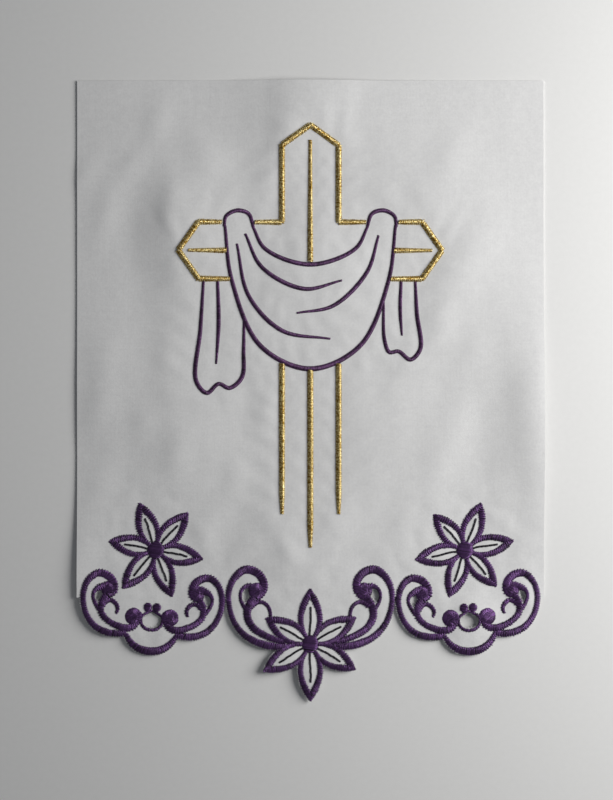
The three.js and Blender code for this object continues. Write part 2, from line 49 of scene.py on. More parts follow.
# Its mesh: step, lowest row, least distance to a cut edge and to the right side, angle of a sharp edge
GRID_STEP, GRID_LOW, EDGE_CLEAR, SIDE_CLEAR = 1.9, -187.0, 0.8, 0.5
SHARP_ANGLE = 50.0

# Its hem: cloth left beside a column, its pitch, unevenness as height, pace and start, its share beside a
# thin column; and how much closer it is cut towards the lower right
HEM_MARGIN, HEM_PITCH = 0.62, 1.1
HEM_UNEVEN = ((0.12, 0.83, 0.0), (0.1, 2.1, 1.0))
HEM_FULL_WIDTH, HEM_LEAST_SHARE = 2.5, 0.2
HEM_CLOSER, CLOSER_TOWARDS, CLOSER_SHARE, CLOSER_TURN = 0.45, (0.8, -0.6), 0.5, 0.7

# Where each scallop's outline starts: its corner up in the cloth, and the row of its outer scroll; and the
# petals that hang below the hem
CENTRE_CORNER, SIDE_CORNER, SMILE_CORNER = (44.0, 48.0), (37.0, 32.0), (0.0, 32.0)
HEM_ROW = 6
HANGING_PETALS = (2, 3, 4)

# Ways of stitching a column: added width, height for its width and at most, roundness, pitch, ragged ends,
# spread of the tones
Column = namedtuple("Column", "widen share most power pitch ragged spread")
BORDER = Column(0.5, 0.14, 0.5, 6.0, 0.68, 0.3, 0.17)
DRAPE = Column(0.3, 0.24, 0.7, 3.0, 0.5, 0.07, 0.15)
GOLD = Column(0.9, 0.36, 1.25, 2.0, 0.6, 0.16, 0.14)
RAGGED_WIDTHS, RAGGED_SHARES = (2.4, 3.2, 4.2, 5.0), (0.5, 1.0, 1.0, 0.6)

# Threads: half width for the pitch, half height, rings along the length, and how far the ends draw in
THREAD_WIDE, THREAD_HIGH = 0.64, 0.16
RING_SHARES = (0.08, 0.3, 0.7, 0.92)
THREAD_END = 0.5

# Tones along a row: difference of each pair, painted shade that makes the stitches show as stripes; height
# and pace of the slow change
PAIR_SHADE, SLOW_TONE, SLOW_PACE = 0.13, 0.1, 9

# Satin: spread of the ends and its limit, slant and its spread, least rise, its spread and its steps from
# column to column, and how far the ends sink
END_SPREAD, END_LIMIT = 0.3, 0.7
SLANT, SLANT_SPREAD = 0.14, 0.04
LEAST_RISE, RISE_SPREAD, RISE_STEP, RISE_STEPS = 0.25, 0.03, 0.03, 3
END_SINK, AT_END = 0.1, 0.999

# Padding under a column and under a dome: place across and height, as shares of its width and rise
COLUMN_BED = ((-0.44, -0.2), (0.44, -0.2), (0.3, 0.72), (-0.3, 0.72))
DOME_BED = ((0.92, -0.15), (0.62, 0.6))
# The padding's pitch, the sides of a dome's padding, and the padding's tone: dark, painted shade between the
# threads
BED_PITCH, DOME_SIDES, BED_SHADE = 1.6, 16, 0.1

# Discs and balls: the most rise, and the rise for the radius with its start; then turns, roundness, spreads,
# shares of the radius, and the cap on a ball
DISC_RISE, BALL_RISE = (0.85, 0.22, 0.15), (0.7, 0.14, 0.1)
DISC_TURN, DISC_POWER, DISC_FALL = 82.0, 6.0, 0.86
DISC_SHORTEST, ROUND_SPREAD = 0.25, 0.1
BALL_PITCH, BALL_SPIN, BALL_CORE, BALL_POWER, BALL_WIDE = 0.78, 1.1, 0.2, 3.0, 0.46
CAP_RADIUS, CAP_TURN, CAP_RISE, CAP_BASE = 0.5, 60.0, 0.25, 0.8

# Edge of a cut hole: its pitch, stitches that wrap it with their lifts, and hanging fibres
HOLE_PITCH = 0.24
WRAP_OUT, WRAP_IN, WRAP_WIDE, WRAP_HIGH = 0.3, 0.2, 0.34, 0.12
WRAP_SHARES, WRAP_LIFTS = (0.0, 0.4, 1.0), (0.2, 0.1, -THICK - 0.35)
FIBRE_LIFTS, FIBRE_LIFT_SPREAD = (-0.12, -THICK - 0.3), 0.12
FIBRE_LEAST, FIBRE_SHAPE, FIBRE_SCALE, FIBRE_MOST = 0.45, 1.6, 0.3, 1.3
FIBRE_ASIDE, FIBRE_WIDE, FIBRE_HIGH = 0.35, 0.11, 0.08

# Bobbin threads below: pitch, half width, half height
BOBBIN_PITCH, BOBBIN_WIDE, BOBBIN_HIGH = 1.3, 0.5, 0.07


def mirrored(rows):
    return np.array(rows, float) * np.array([-1.0, 1.0, 1.0])


def both_halves(rows):
    """Rows that end on the middle line, with the mirrored ones that go on from there."""
    return np.vstack([rows, mirrored(rows)[-2::-1]])


# Places of the border motifs, with turns in degrees, and the flowers' petal lengths and radii
SIDE_X, SIDE_Y, SIDE_LIFT = 95.2, -138.2, 3.0
CENTRE_Y = -151.9
CENTRE_PETALS = (33.0, 30.8, 32.4, 34.35, 31.2, 31.6)
SIDE_PETALS = (29.9, 28.4, 30.2, 29.6, 28.8, 29.6)
SIDE_FLOWER = (-0.2, 42.5, 22.0)
CENTRE_FLOWER = ((0.0, CENTRE_Y), 0.0, CENTRE_PETALS)
FLOWER_EYE, FLOWER_FOOT = 5.25, 8.0

# Veins: start and end along the petal, rows, wave's height and pace, width and stitch in millimetres; a
# stitch's overlap, spread, place in two rows, half width, half height, rise and roundness
VEIN_FROM, VEIN_TO, VEIN_ROWS = 0.15, 0.67, 6
VEIN_WAVE, VEIN_PACE = 0.009, 9
VEIN_WIDE, VEIN_STITCH = 0.9, 2.5
VEIN_LAP, VEIN_SPREAD, VEIN_ASIDE = 0.2, 0.07, (-0.26, 0.26)
VEIN_HALF, VEIN_HIGH, VEIN_RISE, VEIN_POWER = 0.42, 0.18, 0.3, 3

# Half a petal of unit length, foot to tip: along, aside, width in millimetres;
# and the dome it is drawn into: place, half length, half width, height in millimetres
PETAL_SIDE = (
    (0.13, 0.078, 1.9), (0.22, 0.126, 2.3), (0.36, 0.166, 2.7), (0.52, 0.170, 2.9),
    (0.68, 0.130, 3.3), (0.80, 0.077, 3.6), (0.90, 0.026, 2.9), (1.0, 0.002, 0.5),
)
PETAL_DOME = (0.52, 0.34, 0.17, 0.5)

# Side scallop, x outward from the eyelet: x, y, width
EYELET_RING = (
    (0.0, -5.6, 1.4), (3.3, -4.9, 1.4), (5.7, -2.7, 1.3), (6.5, 0.2, 1.2), (5.9, 2.7, 1.1),
    (3.1, 4.7, 1.2), (0.0, 6.1, 1.1),
)
SIDE_BALL, SIDE_BEAD, SIDE_EYE = (10.9, 2.2, 5.2), (2.7, 8.1, 2.6), (26.2, 17.8, 4.8)
SIDE_HOLE = (32.8, 13.9, 2.3, 3.6, 12.0)
SIDE_OUTER = (
    (26.6, 13.8, 2.8), (23.6, 16.6, 4.0), (23.8, 21.6, 4.3), (27.6, 26.0, 4.3), (33.8, 27.2, 3.9),
    (39.3, 22.4, 3.2), (41.7, 13.7, 2.8), (39.6, 3.0, 2.9), (34.2, -4.4, 3.3), (28.0, -7.6, 3.7),
    (21.6, -8.6, 3.6), (14.8, -7.9, 3.0),
)
SIDE_RIM = (
    (27.4, 20.6, 3.4), (31.6, 19.0, 3.4), (34.9, 16.7, 2.0), (35.8, 13.2, 1.5), (34.3, 9.2, 1.8),
    (31.8, 5.4, 2.2),
)
SIDE_INNER = (
    (27.8, 14.2, 3.8), (30.7, 8.6, 3.3), (30.3, 3.6, 3.2), (26.6, -0.6, 3.1), (21.0, -3.6, 3.5),
    (16.4, -5.0, 4.0), (12.2, -4.5, 3.8), (8.8, -1.9, 2.8), (7.2, 2.0, 2.0),
)
SIDE_TENDRIL = (
    (29.6, 8.2, 2.6), (27.6, 10.6, 2.4), (24.6, 11.3, 2.2), (21.4, 8.8, 2.1), (20.6, 5.9, 1.8),
    (21.6, 3.4, 1.0),
)
SIDE_SMILE = ((15.2, -8.2, 2.2), (12.6, -12.6, 3.2), (7.2, -16.8, 4.1), (0.0, -18.3, 4.5))

# Centre scallop, x outward from the flower's middle: x, y, width
CENTRE_HOLE = (38.8, 29.4, 2.7, 4.3, 14.0)
CENTRE_EYE = (32.1, 31.7, 5.0)
CENTRE_OUTER = (
    (32.2, 27.4, 3.4), (28.6, 31.0, 4.2), (27.9, 37.0, 4.4), (32.2, 42.8, 4.6), (39.2, 44.4, 4.6),
    (46.0, 38.8, 3.6), (49.2, 28.7, 2.7), (45.9, 13.4, 2.9), (38.6, 4.6, 3.5), (29.1, 0.0, 4.2),
    (20.6, -1.5, 3.8), (14.0, -1.2, 2.6),
)
CENTRE_RIM = (
    (33.2, 33.9, 3.0), (36.8, 34.8, 2.8), (40.2, 33.4, 1.8), (41.9, 30.4, 1.5), (41.6, 25.8, 1.5),
    (38.6, 20.4, 2.2),
)
CENTRE_INNER = (
    (33.4, 27.6, 4.4), (37.0, 22.4, 4.2), (37.8, 16.2, 4.0), (34.0, 9.4, 3.8), (26.6, 4.8, 3.6),
    (19.6, 2.2, 3.0), (15.2, 1.2, 2.2),
)
CENTRE_TENDRIL = (
    (35.6, 22.2, 2.8), (32.0, 24.8, 2.4), (28.4, 24.8, 2.0), (25.4, 22.4, 1.8), (24.0, 18.6, 1.7),
    (23.8, 15.2, 1.7),
)

# Cross: x, y, width along each gold line
CROSS_HEAD = ((0.0, 159.0, 2.8), (17.0, 147.0, 2.8), (17.0, 101.0, 2.8), (33.4, 101.0, 1.8))
CROSS_ARM = (
    (53.0, 101.0, 2.0), (67.0, 101.0, 2.8), (79.0, 84.0, 2.8), (67.0, 67.0, 2.8), (48.2, 67.0, 2.0),
)
CROSS_LINES = {
    "head_ridge": ((0.0, 150.0, 1.2), (0.0, 77.2, 2.6)),
    "arm_ridge": ((73.0, 84.0, 1.2), (50.2, 84.0, 2.6)),
    "shaft_edge": ((17.0, 16.2, 2.8), (17.0, -62.0, 2.6), (17.0, -74.0, 1.2)),
    "shaft_ridge": ((0.0, 12.4, 2.8), (0.0, -82.0, 2.8), (0.0, -94.0, 1.2)),
}

# Drape: x, y, width along each purple line
SWAG_EDGE = ((-51.2, 99.0, 1.6), (-47.0, 66.0, 2.2), (-30.0, 27.0, 2.6), (0.0, 13.0, 3.0))
SWAG_TOP = ((-34.6, 98.6, 1.4), (-27.0, 85.0, 2.2), (0.0, 75.5, 2.6))
DRAPE_LOOP = (
    (34.2, 98.2, 1.6), (37.0, 106.0, 2.2), (44.0, 108.0, 2.4), (50.5, 104.5, 2.0), (51.6, 98.2, 1.6),
)
DRAPE_LINES = {
    "swag_edge": both_halves(SWAG_EDGE),
    "swag_top": both_halves(SWAG_TOP),
    "fold_high": ((-39.0, 94.0, 1.2), (-29.0, 74.0, 2.2), (-4.0, 61.0, 2.4), (19.0, 66.0, 1.0)),
    "fold_right": ((41.0, 93.0, 1.2), (34.0, 71.0, 2.2), (14.0, 51.0, 2.2), (-8.0, 46.5, 1.0)),
    "fold_low": ((-44.0, 88.0, 1.2), (-37.0, 57.0, 2.2), (-17.0, 36.0, 2.4), (12.0, 31.0, 1.0)),
    "loop_left": mirrored(DRAPE_LOOP),
    "loop_right": DRAPE_LOOP,
    "tail_left": (
        (-64.0, 65.4, 1.4), (-66.0, 36.0, 2.2), (-68.5, 6.0, 2.4), (-62.0, -1.5, 2.4),
        (-55.0, 4.0, 2.2), (-48.5, 1.5, 2.4), (-41.0, 8.0, 2.4), (-40.0, 24.0, 2.0),
        (-39.8, 42.0, 1.2),
    ),
    "tail_left_fold": ((-55.5, 65.4, 1.6), (-55.0, 40.0, 2.2), (-56.5, 16.0, 1.0)),
    "tail_right": (
        (63.0, 65.4, 1.4), (64.0, 46.0, 2.2), (66.0, 25.0, 2.4), (60.0, 18.5, 2.4),
        (53.0, 23.5, 2.2), (47.5, 23.0, 2.2), (44.5, 31.0, 2.0), (44.0, 53.0, 1.2),
    ),
    "tail_right_fold": ((54.5, 65.4, 1.6), (54.0, 48.0, 2.0), (55.0, 33.0, 1.0)),
}

# Folds the sheet lies in: crest x and y, turn, half length, left and right slopes, height
FOLDS = (
    (-79, 92, 2, 42, 19, 30, 3.2),
    (-78, -22, -4, 38, 22, 30, 2),
    (-120, -4, 3, 46, 26, 24, 1),
    (-4, 176, -14, 36, 32, 38, 3.6),
    (76, 118, 16, 46, 38, 32, 1.6),
    (42, -36, -6, 44, 28, 60, 1.5),
    (138, -26, 3, 58, 27, 20, 5),
    (90, 66, -30, 38, 20, 30, 1.5),
    (-12, -86, 8, 30, 30, 30, 1.6),
    (-28, -170, -40, 34, 26, 30, 1.3),
    (-144, -118, 8, 46, 30, 32, 2),
    (104, -152, 80, 44, 26, 26, 0.5),
    (0, -165, 90, 170, 60, 44, 1.1),
    (6, 82, 4, 34, 44, 28, 1.9),
)

# Small creases in the sheet, in the same columns
CREASES = (
    (-84, 110, -8, 18, 6.5, 9, 0.8),
    (-86, 20, -6, 20, 8, 9, 0.6),
    (-121, 16, -4, 20, 10, 9, 0.55),
    (-123, 107, -15, 25, 8, 8, 0.65),
    (-107, 136, -40, 12, 6, 8, 0.6),
    (-135, 131, -30, 12, 6, 7, 0.45),
    (-92, 161, -20, 14, 8, 8, 0.55),
    (-64, 141, 25, 16, 9, 10, 0.6),
    (-16, 155, -14, 18, 10, 12, 0.7),
    (-26, 125, -35, 14, 7, 8, 0.5),
    (50, 125, -30, 22, 10, 12, 0.3),
    (88, 150, -25, 20, 9, 10, 0.3),
    (82, 72, -25, 12, 8, 10, 0.4),
    (78, 42, -40, 10, 6, 7, 0.55),
    (96, 20, -40, 14, 7, 8, 0.6),
    (57, 16, -25, 16, 6, 7, 0.55),
    (82, -28, -25, 34, 14, 12, 1.2),
    (53, -84, -35, 16, 7, 9, 0.6),
    (16, -76, -15, 18, 9, 9, 0.75),
    (-13, -97, 20, 12, 9, 7, 0.85),
    (-46, -53, -10, 14, 7, 8, 0.7),
    (-63, -82, -20, 14, 7, 8, 0.6),
    (-27, -12, -15, 16, 7, 7, 0.6),
    (-80, -40, -20, 18, 8, 9, 0.6),
    (-100, -18, -10, 14, 7, 8, 0.4),
    (-128, -8, -5, 20, 8, 8, 0.55),
    (-126, -58, -10, 14, 8, 9, 0.5),
    (108, -78, 10, 12, 6, 8, 0.4),
    (97, -136, 0, 12, 12, 13, 1.8),
    (129, -121, 0, 12, 11, 9, 1.6),
    (-62, -123, 0, 10, 10, 10, 0.8),
    (-38, -122, 0, 10, 10, 10, 0.6),
    (40, -122, 0, 10, 10, 10, 0.8),
    (137, -5, 3, 42, 15, 12, 1.1),
)

# How the folds settle: the height too low to hold the cloth up, and how sharply they leave the surface
REST_LEVEL, SETTLING = 0.3, 9

# Pucker beside the stitching, which draws the cloth down: rise, ripple's height, length and lean, reach;
# its pitch, its start from line to line, the length of its drift, and rounds of softening
PUCKER = (0.24, 0.16, 14.0, 0.5, 7.0)
PUCKER_PITCH, PUCKER_START, PUCKER_DRIFT, SOFTENING = 1.5, 3.7, 11, 3

# Slack between the folds: level, bend and its length, share on flat cloth, the height of fold that takes
# the rest; and each wave's turn, length, height and start
SLACK_LEVEL, SLACK_BEND, SLACK_BEND_LENGTH = 0.3, 0.9, 41
SLACK_FLAT, SLACK_WHOLE = 0.3, 0.5
SLACK = (
    (-28, 46, 0.09, 0.4),
    (-18, 33, 0.07, 2.1),
    (71, 58, 0.07, 1.2),
    (-44, 25, 0.04, 4.0),
    (8, 19, 0.03, 5.2),
)


# Lines: rows of x, y and width made into close points; their steps, the reach that gives a direction, and
# the fewest stations
LINE_STEP, LEAST_STEPS = 0.5, 4
LOOK_AHEAD, LEAST_STATIONS = 0.3, 3
TINY = 1e-9


def between(first, last, start, end, at):
    return (end - at) / (end - start) * first + (at - start) / (end - start) * last


def smooth_line(rows, closed=False):
    """A smooth curve through the rows, which doesn't swing out where they lie unevenly."""
    knots = np.array(rows, float)
    if closed:
        knots = np.vstack([knots[-1], knots, knots[:2]])
    else:
        knots = np.vstack([2 * knots[0] - knots[1], knots, 2 * knots[-1] - knots[-2]])
    gaps = np.sqrt(np.linalg.norm(np.diff(knots, axis=0), axis=1)).clip(TINY)
    times = np.concatenate([[0], np.cumsum(gaps)])
    pieces = []
    for k in range(1, len(knots) - 2):
        count = max(LEAST_STEPS, int(np.linalg.norm(knots[k + 1, :2] - knots[k, :2]) / LINE_STEP) + 1)
        at = np.linspace(times[k], times[k + 1], count, endpoint=False)[:, None]
        p0, p1, p2, p3 = knots[k - 1 : k + 3]
        t0, t1, t2, t3 = times[k - 1 : k + 3]
        a1, a2, a3 = between(p0, p1, t0, t1, at), between(p1, p2, t1, t2, at), between(p2, p3, t2, t3, at)
        b1, b2 = between(a1, a2, t0, t2, at), between(a2, a3, t1, t3, at)
        pieces.append(between(b1, b2, t1, t2, at))
    line = np.vstack(pieces)
    return np.vstack([line, line[:1] if closed else knots[-2:-1]])


def straight_line(rows):
    knots = np.array(rows, float)
    pieces = []
    for here, there in zip(knots[:-1], knots[1:]):
        count = int(np.linalg.norm(there[:2] - here[:2]) / LINE_STEP) + 1
        pieces.append(here + (there - here) * np.linspace(0, 1, count, endpoint=False)[:, None])
    return np.vstack([*pieces, knots[-1:]])


def heading(degrees):
    """Cosine and sine of a turn."""
    angle = math.radians(degrees)
    return math.cos(angle), math.sin(angle)


def unit(ways):
    return ways / np.linalg.norm(ways, axis=1)[:, None].clip(TINY)


def left_of(ahead):
    """Directions turned a quarter to the left."""
    return np.stack([-ahead[:, 1], ahead[:, 0]], axis=1)


def stations(line, pitch):
    """Even stations along a line: place, width, and the direction along it."""
    run = np.concatenate([[0], np.cumsum(np.linalg.norm(np.diff(line[:, :2], axis=0), axis=1))])
    count = max(LEAST_STATIONS, int(round(run[-1] / pitch)))
    at = (np.arange(count) + 0.5) * run[-1] / count
    place = np.stack([np.interp(at, run, line[:, k]) for k in range(3)], axis=1)
    before, after = at - LOOK_AHEAD, at + LOOK_AHEAD
    ahead = [np.interp(after, run, line[:, k]) - np.interp(before, run, line[:, k]) for k in (0, 1)]
    return place[:, :2], place[:, 2], unit(np.stack(ahead, axis=1))


def placed(rows, x, y, lift, side):
    """Rows of a motif turned by lift, moved to x, y and mirrored by side."""
    rows = np.atleast_2d(np.array(rows, float)).copy()
    c, s = heading(lift)
    across, along = rows[:, 0].copy(), rows[:, 1].copy()
    rows[:, 0] = side * (x + across * c - along * s)
    rows[:, 1] = y + across * s + along * c
    return rows


def side_rows(rows, side, half=1):
    """Rows of a side scallop in place, on its outer or its inner half."""
    rows = np.atleast_2d(np.array(rows, float))
    return placed(rows if half > 0 else mirrored(rows), SIDE_X, SIDE_Y, SIDE_LIFT, side)


def centre_rows(rows, side):
    return placed(rows, 0.0, CENTRE_Y, 0.0, side)


def petal_rows(rows, middle, turn, lengths, petal, side):
    """Rows of a petal of unit length, at its length and place round the flower's middle."""
    rows = np.array(rows, float)
    c, s = heading(90 + turn + petal * 360 / len(lengths))
    along, aside = rows[:, 0] * lengths[petal], side * rows[:, 1] * lengths[petal]
    x = middle[0] + along * c - aside * s
    y = middle[1] + along * s + aside * c
    return np.stack([x, y, rows[:, 2]], axis=1)


def flower_place(side):
    """A side flower's middle and turn."""
    x, y, turn = SIDE_FLOWER
    middle = side_rows((x, y, 0), side)[0, :2]
    return middle, -side * (turn - SIDE_LIFT)


SMILE = both_halves(SIDE_SMILE)
EYELET_PITCH, OVAL_POINTS = 0.8, 40


def eyelet_ring():
    """The eyelet's ring, round from its foot: wide between the balls, pointed under the beads."""
    return smooth_line(both_halves(EYELET_RING)[:-1], closed=True)


def eyelet_hole():
    """The cut inside the eyelet's ring."""
    place, width, ahead = stations(eyelet_ring(), EYELET_PITCH)
    return np.c_[place + left_of(ahead) * (width / 2)[:, None], np.zeros(len(place))]


def oval(x, y, across, along, lean):
    turn = np.arange(OVAL_POINTS) / OVAL_POINTS * 2 * math.pi
    c, s = heading(lean)
    u, v = across * np.cos(turn), along * np.sin(turn)
    return np.stack([x + u * c - v * s, y + u * s + v * c, np.zeros(OVAL_POINTS)], axis=1)


# What is stitched on each node: columns, discs and balls as x, y and radius, veins, and cut holes
def parts_of(**given):
    return {"lines": [], "discs": [], "balls": [], "veins": [], "holes": [], **given}


def flower_parts(middle, turn, lengths):
    lines, veins = [], []
    for petal in range(len(lengths)):
        for side in (-1, 1):
            lines.append(smooth_line(petal_rows(PETAL_SIDE, middle, turn, lengths, petal, side)))
        shares = np.linspace(VEIN_FROM, VEIN_TO, VEIN_ROWS)
        wave = [(r, VEIN_WAVE * math.sin(VEIN_PACE * r + petal), VEIN_WIDE) for r in shares]
        veins.append(smooth_line(petal_rows(wave, middle, turn, lengths, petal, 1)))
    return parts_of(lines=lines, discs=[(*middle, FLOWER_EYE)], veins=veins)


def side_parts(side):
    lines, discs, balls = [], [], []
    holes = [side_rows(eyelet_hole(), side)]
    for half in (1, -1):
        holes.append(side_rows(oval(*SIDE_HOLE), side, half))
        for rows in (SIDE_RIM, SIDE_TENDRIL, SIDE_INNER, SIDE_OUTER):
            lines.append(smooth_line(side_rows(rows, side, half)))
        for ball in (SIDE_EYE, SIDE_BALL):
            balls.append((*side_rows(ball, side, half)[0], side * half))
        discs.append(tuple(side_rows(SIDE_BEAD, side, half)[0]))
    lines.append(smooth_line(side_rows(SMILE, side)))
    lines.append(side_rows(eyelet_ring(), side))
    return parts_of(lines=lines, discs=discs, balls=balls, holes=holes)


def centre_parts():
    parts = flower_parts(*CENTRE_FLOWER)
    for side in (-1, 1):
        for rows in (CENTRE_RIM, CENTRE_TENDRIL, CENTRE_INNER, CENTRE_OUTER):
            parts["lines"].append(smooth_line(centre_rows(rows, side)))
        parts["balls"].append((*centre_rows(CENTRE_EYE, side)[0], side))
        parts["holes"].append(centre_rows(oval(*CENTRE_HOLE), side))
    return parts


def cross_lines():
    made = {"cross_head": straight_line(both_halves(mirrored(CROSS_HEAD)[::-1]))}
    for side, word in ((-1, "left"), (1, "right")):
        flip = np.array([side, 1.0, 1.0])
        made[f"cross_arm_{word}"] = straight_line(np.array(CROSS_ARM) * flip)
        made[f"cross_arm_ridge_{word}"] = straight_line(np.array(CROSS_LINES["arm_ridge"]) * flip)
        made[f"cross_shaft_edge_{word}"] = straight_line(np.array(CROSS_LINES["shaft_edge"]) * flip)
    made["cross_head_ridge"] = straight_line(CROSS_LINES["head_ridge"])
    made["cross_shaft_ridge"] = straight_line(CROSS_LINES["shaft_ridge"])
    return made


def petal_domes():
    """Low ridges along the petals, in the columns of the folds."""
    domes = []
    flowers = [CENTRE_FLOWER, *((*flower_place(side), SIDE_PETALS) for side in (-1, 1))]
    place, reach, wide, rise = PETAL_DOME
    for middle, turn, lengths in flowers:
        for petal, length in enumerate(lengths):
            x, y, _ = petal_rows([(place, 0, 0)], middle, turn, lengths, petal, 1)[0]
            lean = turn + petal * 360 / len(lengths)
            domes.append((x, y, lean, reach * length, wide * length, wide * length, rise))
    return domes


STITCHED = {"scallop_centre": centre_parts()}
for side, word in ((-1, "left"), (1, "right")):
    STITCHED[f"scallop_{word}"] = side_parts(side)
    STITCHED[f"flower_{word}"] = flower_parts(*flower_place(side), SIDE_PETALS)
for node, line in cross_lines().items():
    STITCHED[node] = parts_of(lines=[line])
for node, rows in DRAPE_LINES.items():
    STITCHED[f"drape_{node}"] = parts_of(lines=[smooth_line(rows)])


# Height of the sheet's underside, on a one-millimetre grid
def ridges(table, x, y):
    """Soft ridges added up, each steeper on one side than on the other."""
    height = np.zeros(np.shape(x))
    for fx, fy, turn, reach, left, right, rise in table:
        c, s = heading(turn)
        across = (x - fx) * c + (y - fy) * s
        along = (y - fy) * c - (x - fx) * s
        width = np.where(across < 0, left, right)
        height += rise * np.exp(-((across / width) ** 2) - (along / reach) ** 2)
    return height


def fold_height(x, y):
    """The folds, settled flat where they are too low to hold the cloth up."""
    return np.logaddexp(0, (ridges(FOLDS, x, y) - REST_LEVEL) * SETTLING) / SETTLING


def slack(x, y):
    waves = SLACK_LEVEL
    for turn, length, high, start in SLACK:
        c, s = heading(turn)
        bend = start + SLACK_BEND * np.sin(y / SLACK_BEND_LENGTH + start)
        waves = waves + high * np.sin((x * c + y * s) * 2 * math.pi / length + bend)
    return waves


# The grid reaches a little past the cloth
GRID_X = np.arange(-144, 145.0)
GRID_Y = np.arange(-196, 191.0)


def softened(field):
    """The field averaged with its neighbours, several times over."""
    for axis in (0, 1) * SOFTENING:
        field = (np.roll(field, 1, axis) + 2 * field + np.roll(field, -1, axis)) / 4
    return field


def nearest(points):
    """A tree that finds the nearest of the points."""
    tree = kdtree.KDTree(len(points))
    for k, (x, y) in enumerate(points):
        tree.insert((x, y, 0), k)
    tree.balance()
    return tree


def laid_heights():
    """Folds, slack between them, and the pucker that the stitching draws in."""
    x, y = np.meshgrid(GRID_X, GRID_Y)
    height = fold_height(x, y)
    whole = 1 - np.exp(-height / SLACK_WHOLE)
    height = height + slack(x, y) * (SLACK_FLAT + (1 - SLACK_FLAT) * whole)
    height = height + ridges(CREASES, x, y) + ridges(petal_domes(), x, y)
    lines = [stations(line, PUCKER_PITCH) for parts in STITCHED.values() for line in parts["lines"]]
    half = np.concatenate([width for _, width, _ in lines]) / 2
    runs = [np.arange(len(line[0])) * PUCKER_PITCH + k * PUCKER_START for k, line in enumerate(lines)]
    tree = nearest(np.vstack([place for place, _, _ in lines]))
    near = np.array([tree.find((px, py, 0))[1:] for px, py in zip(x.ravel(), y.ravel())])
    index = near[:, 0].astype(int)
    away = (near[:, 1] - half[index]).reshape(x.shape).clip(0)
    run = np.concatenate(runs)[index].reshape(x.shape)
    rise, ripple, length, lean, reach = PUCKER
    waves = np.sin((run + lean * away) * 2 * math.pi / length + np.sin(run / PUCKER_DRIFT))
    return height + softened((rise + ripple * waves) * away / reach * np.exp(1 - away / reach))


HEIGHTS = laid_heights()
INSIDE_GRID = 0.001


def underside(x, y):
    """Height of the sheet's underside, read between the grid's points."""
    u = np.clip(np.asarray(x) - GRID_X[0], 0, len(GRID_X) - 1 - INSIDE_GRID)
    v = np.clip(np.asarray(y) - GRID_Y[0], 0, len(GRID_Y) - 1 - INSIDE_GRID)
    i, j = u.astype(int), v.astype(int)
    u, v = u - i, v - j
    low = HEIGHTS[j, i] * (1 - u) + HEIGHTS[j, i + 1] * u
    high = HEIGHTS[j + 1, i] * (1 - u) + HEIGHTS[j + 1, i + 1] * u
    return UNDER + low * (1 - v) + high * v


def sheet_top(x, y):
    return underside(x, y) + THICK


# The cut outline: loops of x, y
def edge_of(line, side):
    """The trimmed edge beside a satin column, a little uneven along it."""
    place, width, ahead = stations(line, HEM_PITCH)
    at = np.arange(len(place))
    uneven = sum(high * np.sin(at * pace + start) for high, pace, start in HEM_UNEVEN)
    margin = (HEM_MARGIN + uneven) * np.clip(width / HEM_FULL_WIDTH, HEM_LEAST_SHARE, 1)
    return place + left_of(ahead) * (side * (width / 2 + margin))[:, None]


def trimmed(loop):
    """The loop drawn in where the hem is cut closer, on its lower right sides."""
    there = np.roll(loop, -1, axis=0)
    ahead = unit(there - np.roll(loop, 1, axis=0))
    around = np.sign((loop[:, 0] * there[:, 1] - loop[:, 1] * there[:, 0]).sum())
    outward = -around * left_of(ahead)
    share = np.clip(CLOSER_SHARE + CLOSER_TURN * (outward @ np.array(CLOSER_TOWARDS)), 0, 1)
    return loop - outward * (share * HEM_CLOSER)[:, None]


def hem_half(rows):
    """Half of a scallop's hem, beside its outer scroll."""
    edge = edge_of(smooth_line(rows), 1)
    gone = np.linalg.norm(edge - np.array(rows[HEM_ROW][:2]), axis=1).argmin()
    return edge[gone:]


def flat(points):
    """Points as rows with no width."""
    return np.c_[points, np.zeros(len(points))]


def close_steps(loop):
    """A loop with no side longer than the grid's step."""
    points = []
    for here, there in zip(loop, np.roll(loop, -1, axis=0)):
        count = max(1, math.ceil(np.linalg.norm(there - here) / GRID_STEP))
        points += [here + (there - here) * k / count for k in range(count)]
    return np.array(points)


def cut_loops():
    """Loops that add the scallops to the cloth, and loops that are cut out of it."""
    centre = flat([CENTRE_CORNER, *hem_half(CENTRE_OUTER)])
    outlines = [centre_rows(np.vstack([centre, mirrored(centre)[::-1]]), 1)]
    outlines.append(centre_rows(oval(0, 0, FLOWER_FOOT, FLOWER_FOOT, 0), 1))
    for petal in HANGING_PETALS:
        halves = []
        for side in (1, -1):
            rows = petal_rows(PETAL_SIDE, *CENTRE_FLOWER, petal, side)
            halves.append(flat(edge_of(smooth_line(rows), side)))
        outlines.append(np.vstack([halves[0], halves[1][::-1]]))
    half = flat([SIDE_CORNER, *hem_half(SIDE_OUTER)])
    smile = flat([SMILE_CORNER, *edge_of(smooth_line(SMILE), 1)])
    for side in (-1, 1):
        outlines.append(side_rows(np.vstack([half, mirrored(half)[::-1]]), side))
        outlines.append(side_rows(smile, side))
    holes = [loop[:, :2] for parts in STITCHED.values() for loop in parts["holes"]]
    return [close_steps(trimmed(loop[:, :2])) for loop in outlines], holes


def inside(points, loop):
    """Even-odd test of many points against one loop."""
    near = np.flatnonzero(((points >= loop.min(axis=0)) & (points <= loop.max(axis=0))).all(axis=1))
    x, y = points[near, 0], points[near, 1]
    odd = np.zeros(len(near), bool)
    for (ax, ay), (bx, by) in zip(loop, np.roll(loop, -1, axis=0)):
        crosses = (ay > y) != (by > y)
        odd ^= crosses & (x < (bx - ax) * (y - ay) / ((by - ay) or TINY) + ax)
    result = np.zeros(len(points), bool)
    result[near] = odd
    return result


def new_object(name, data):
    made = bpy.data.objects.new(name, data)
    bpy.context.scene.collection.objects.link(made)
    return made


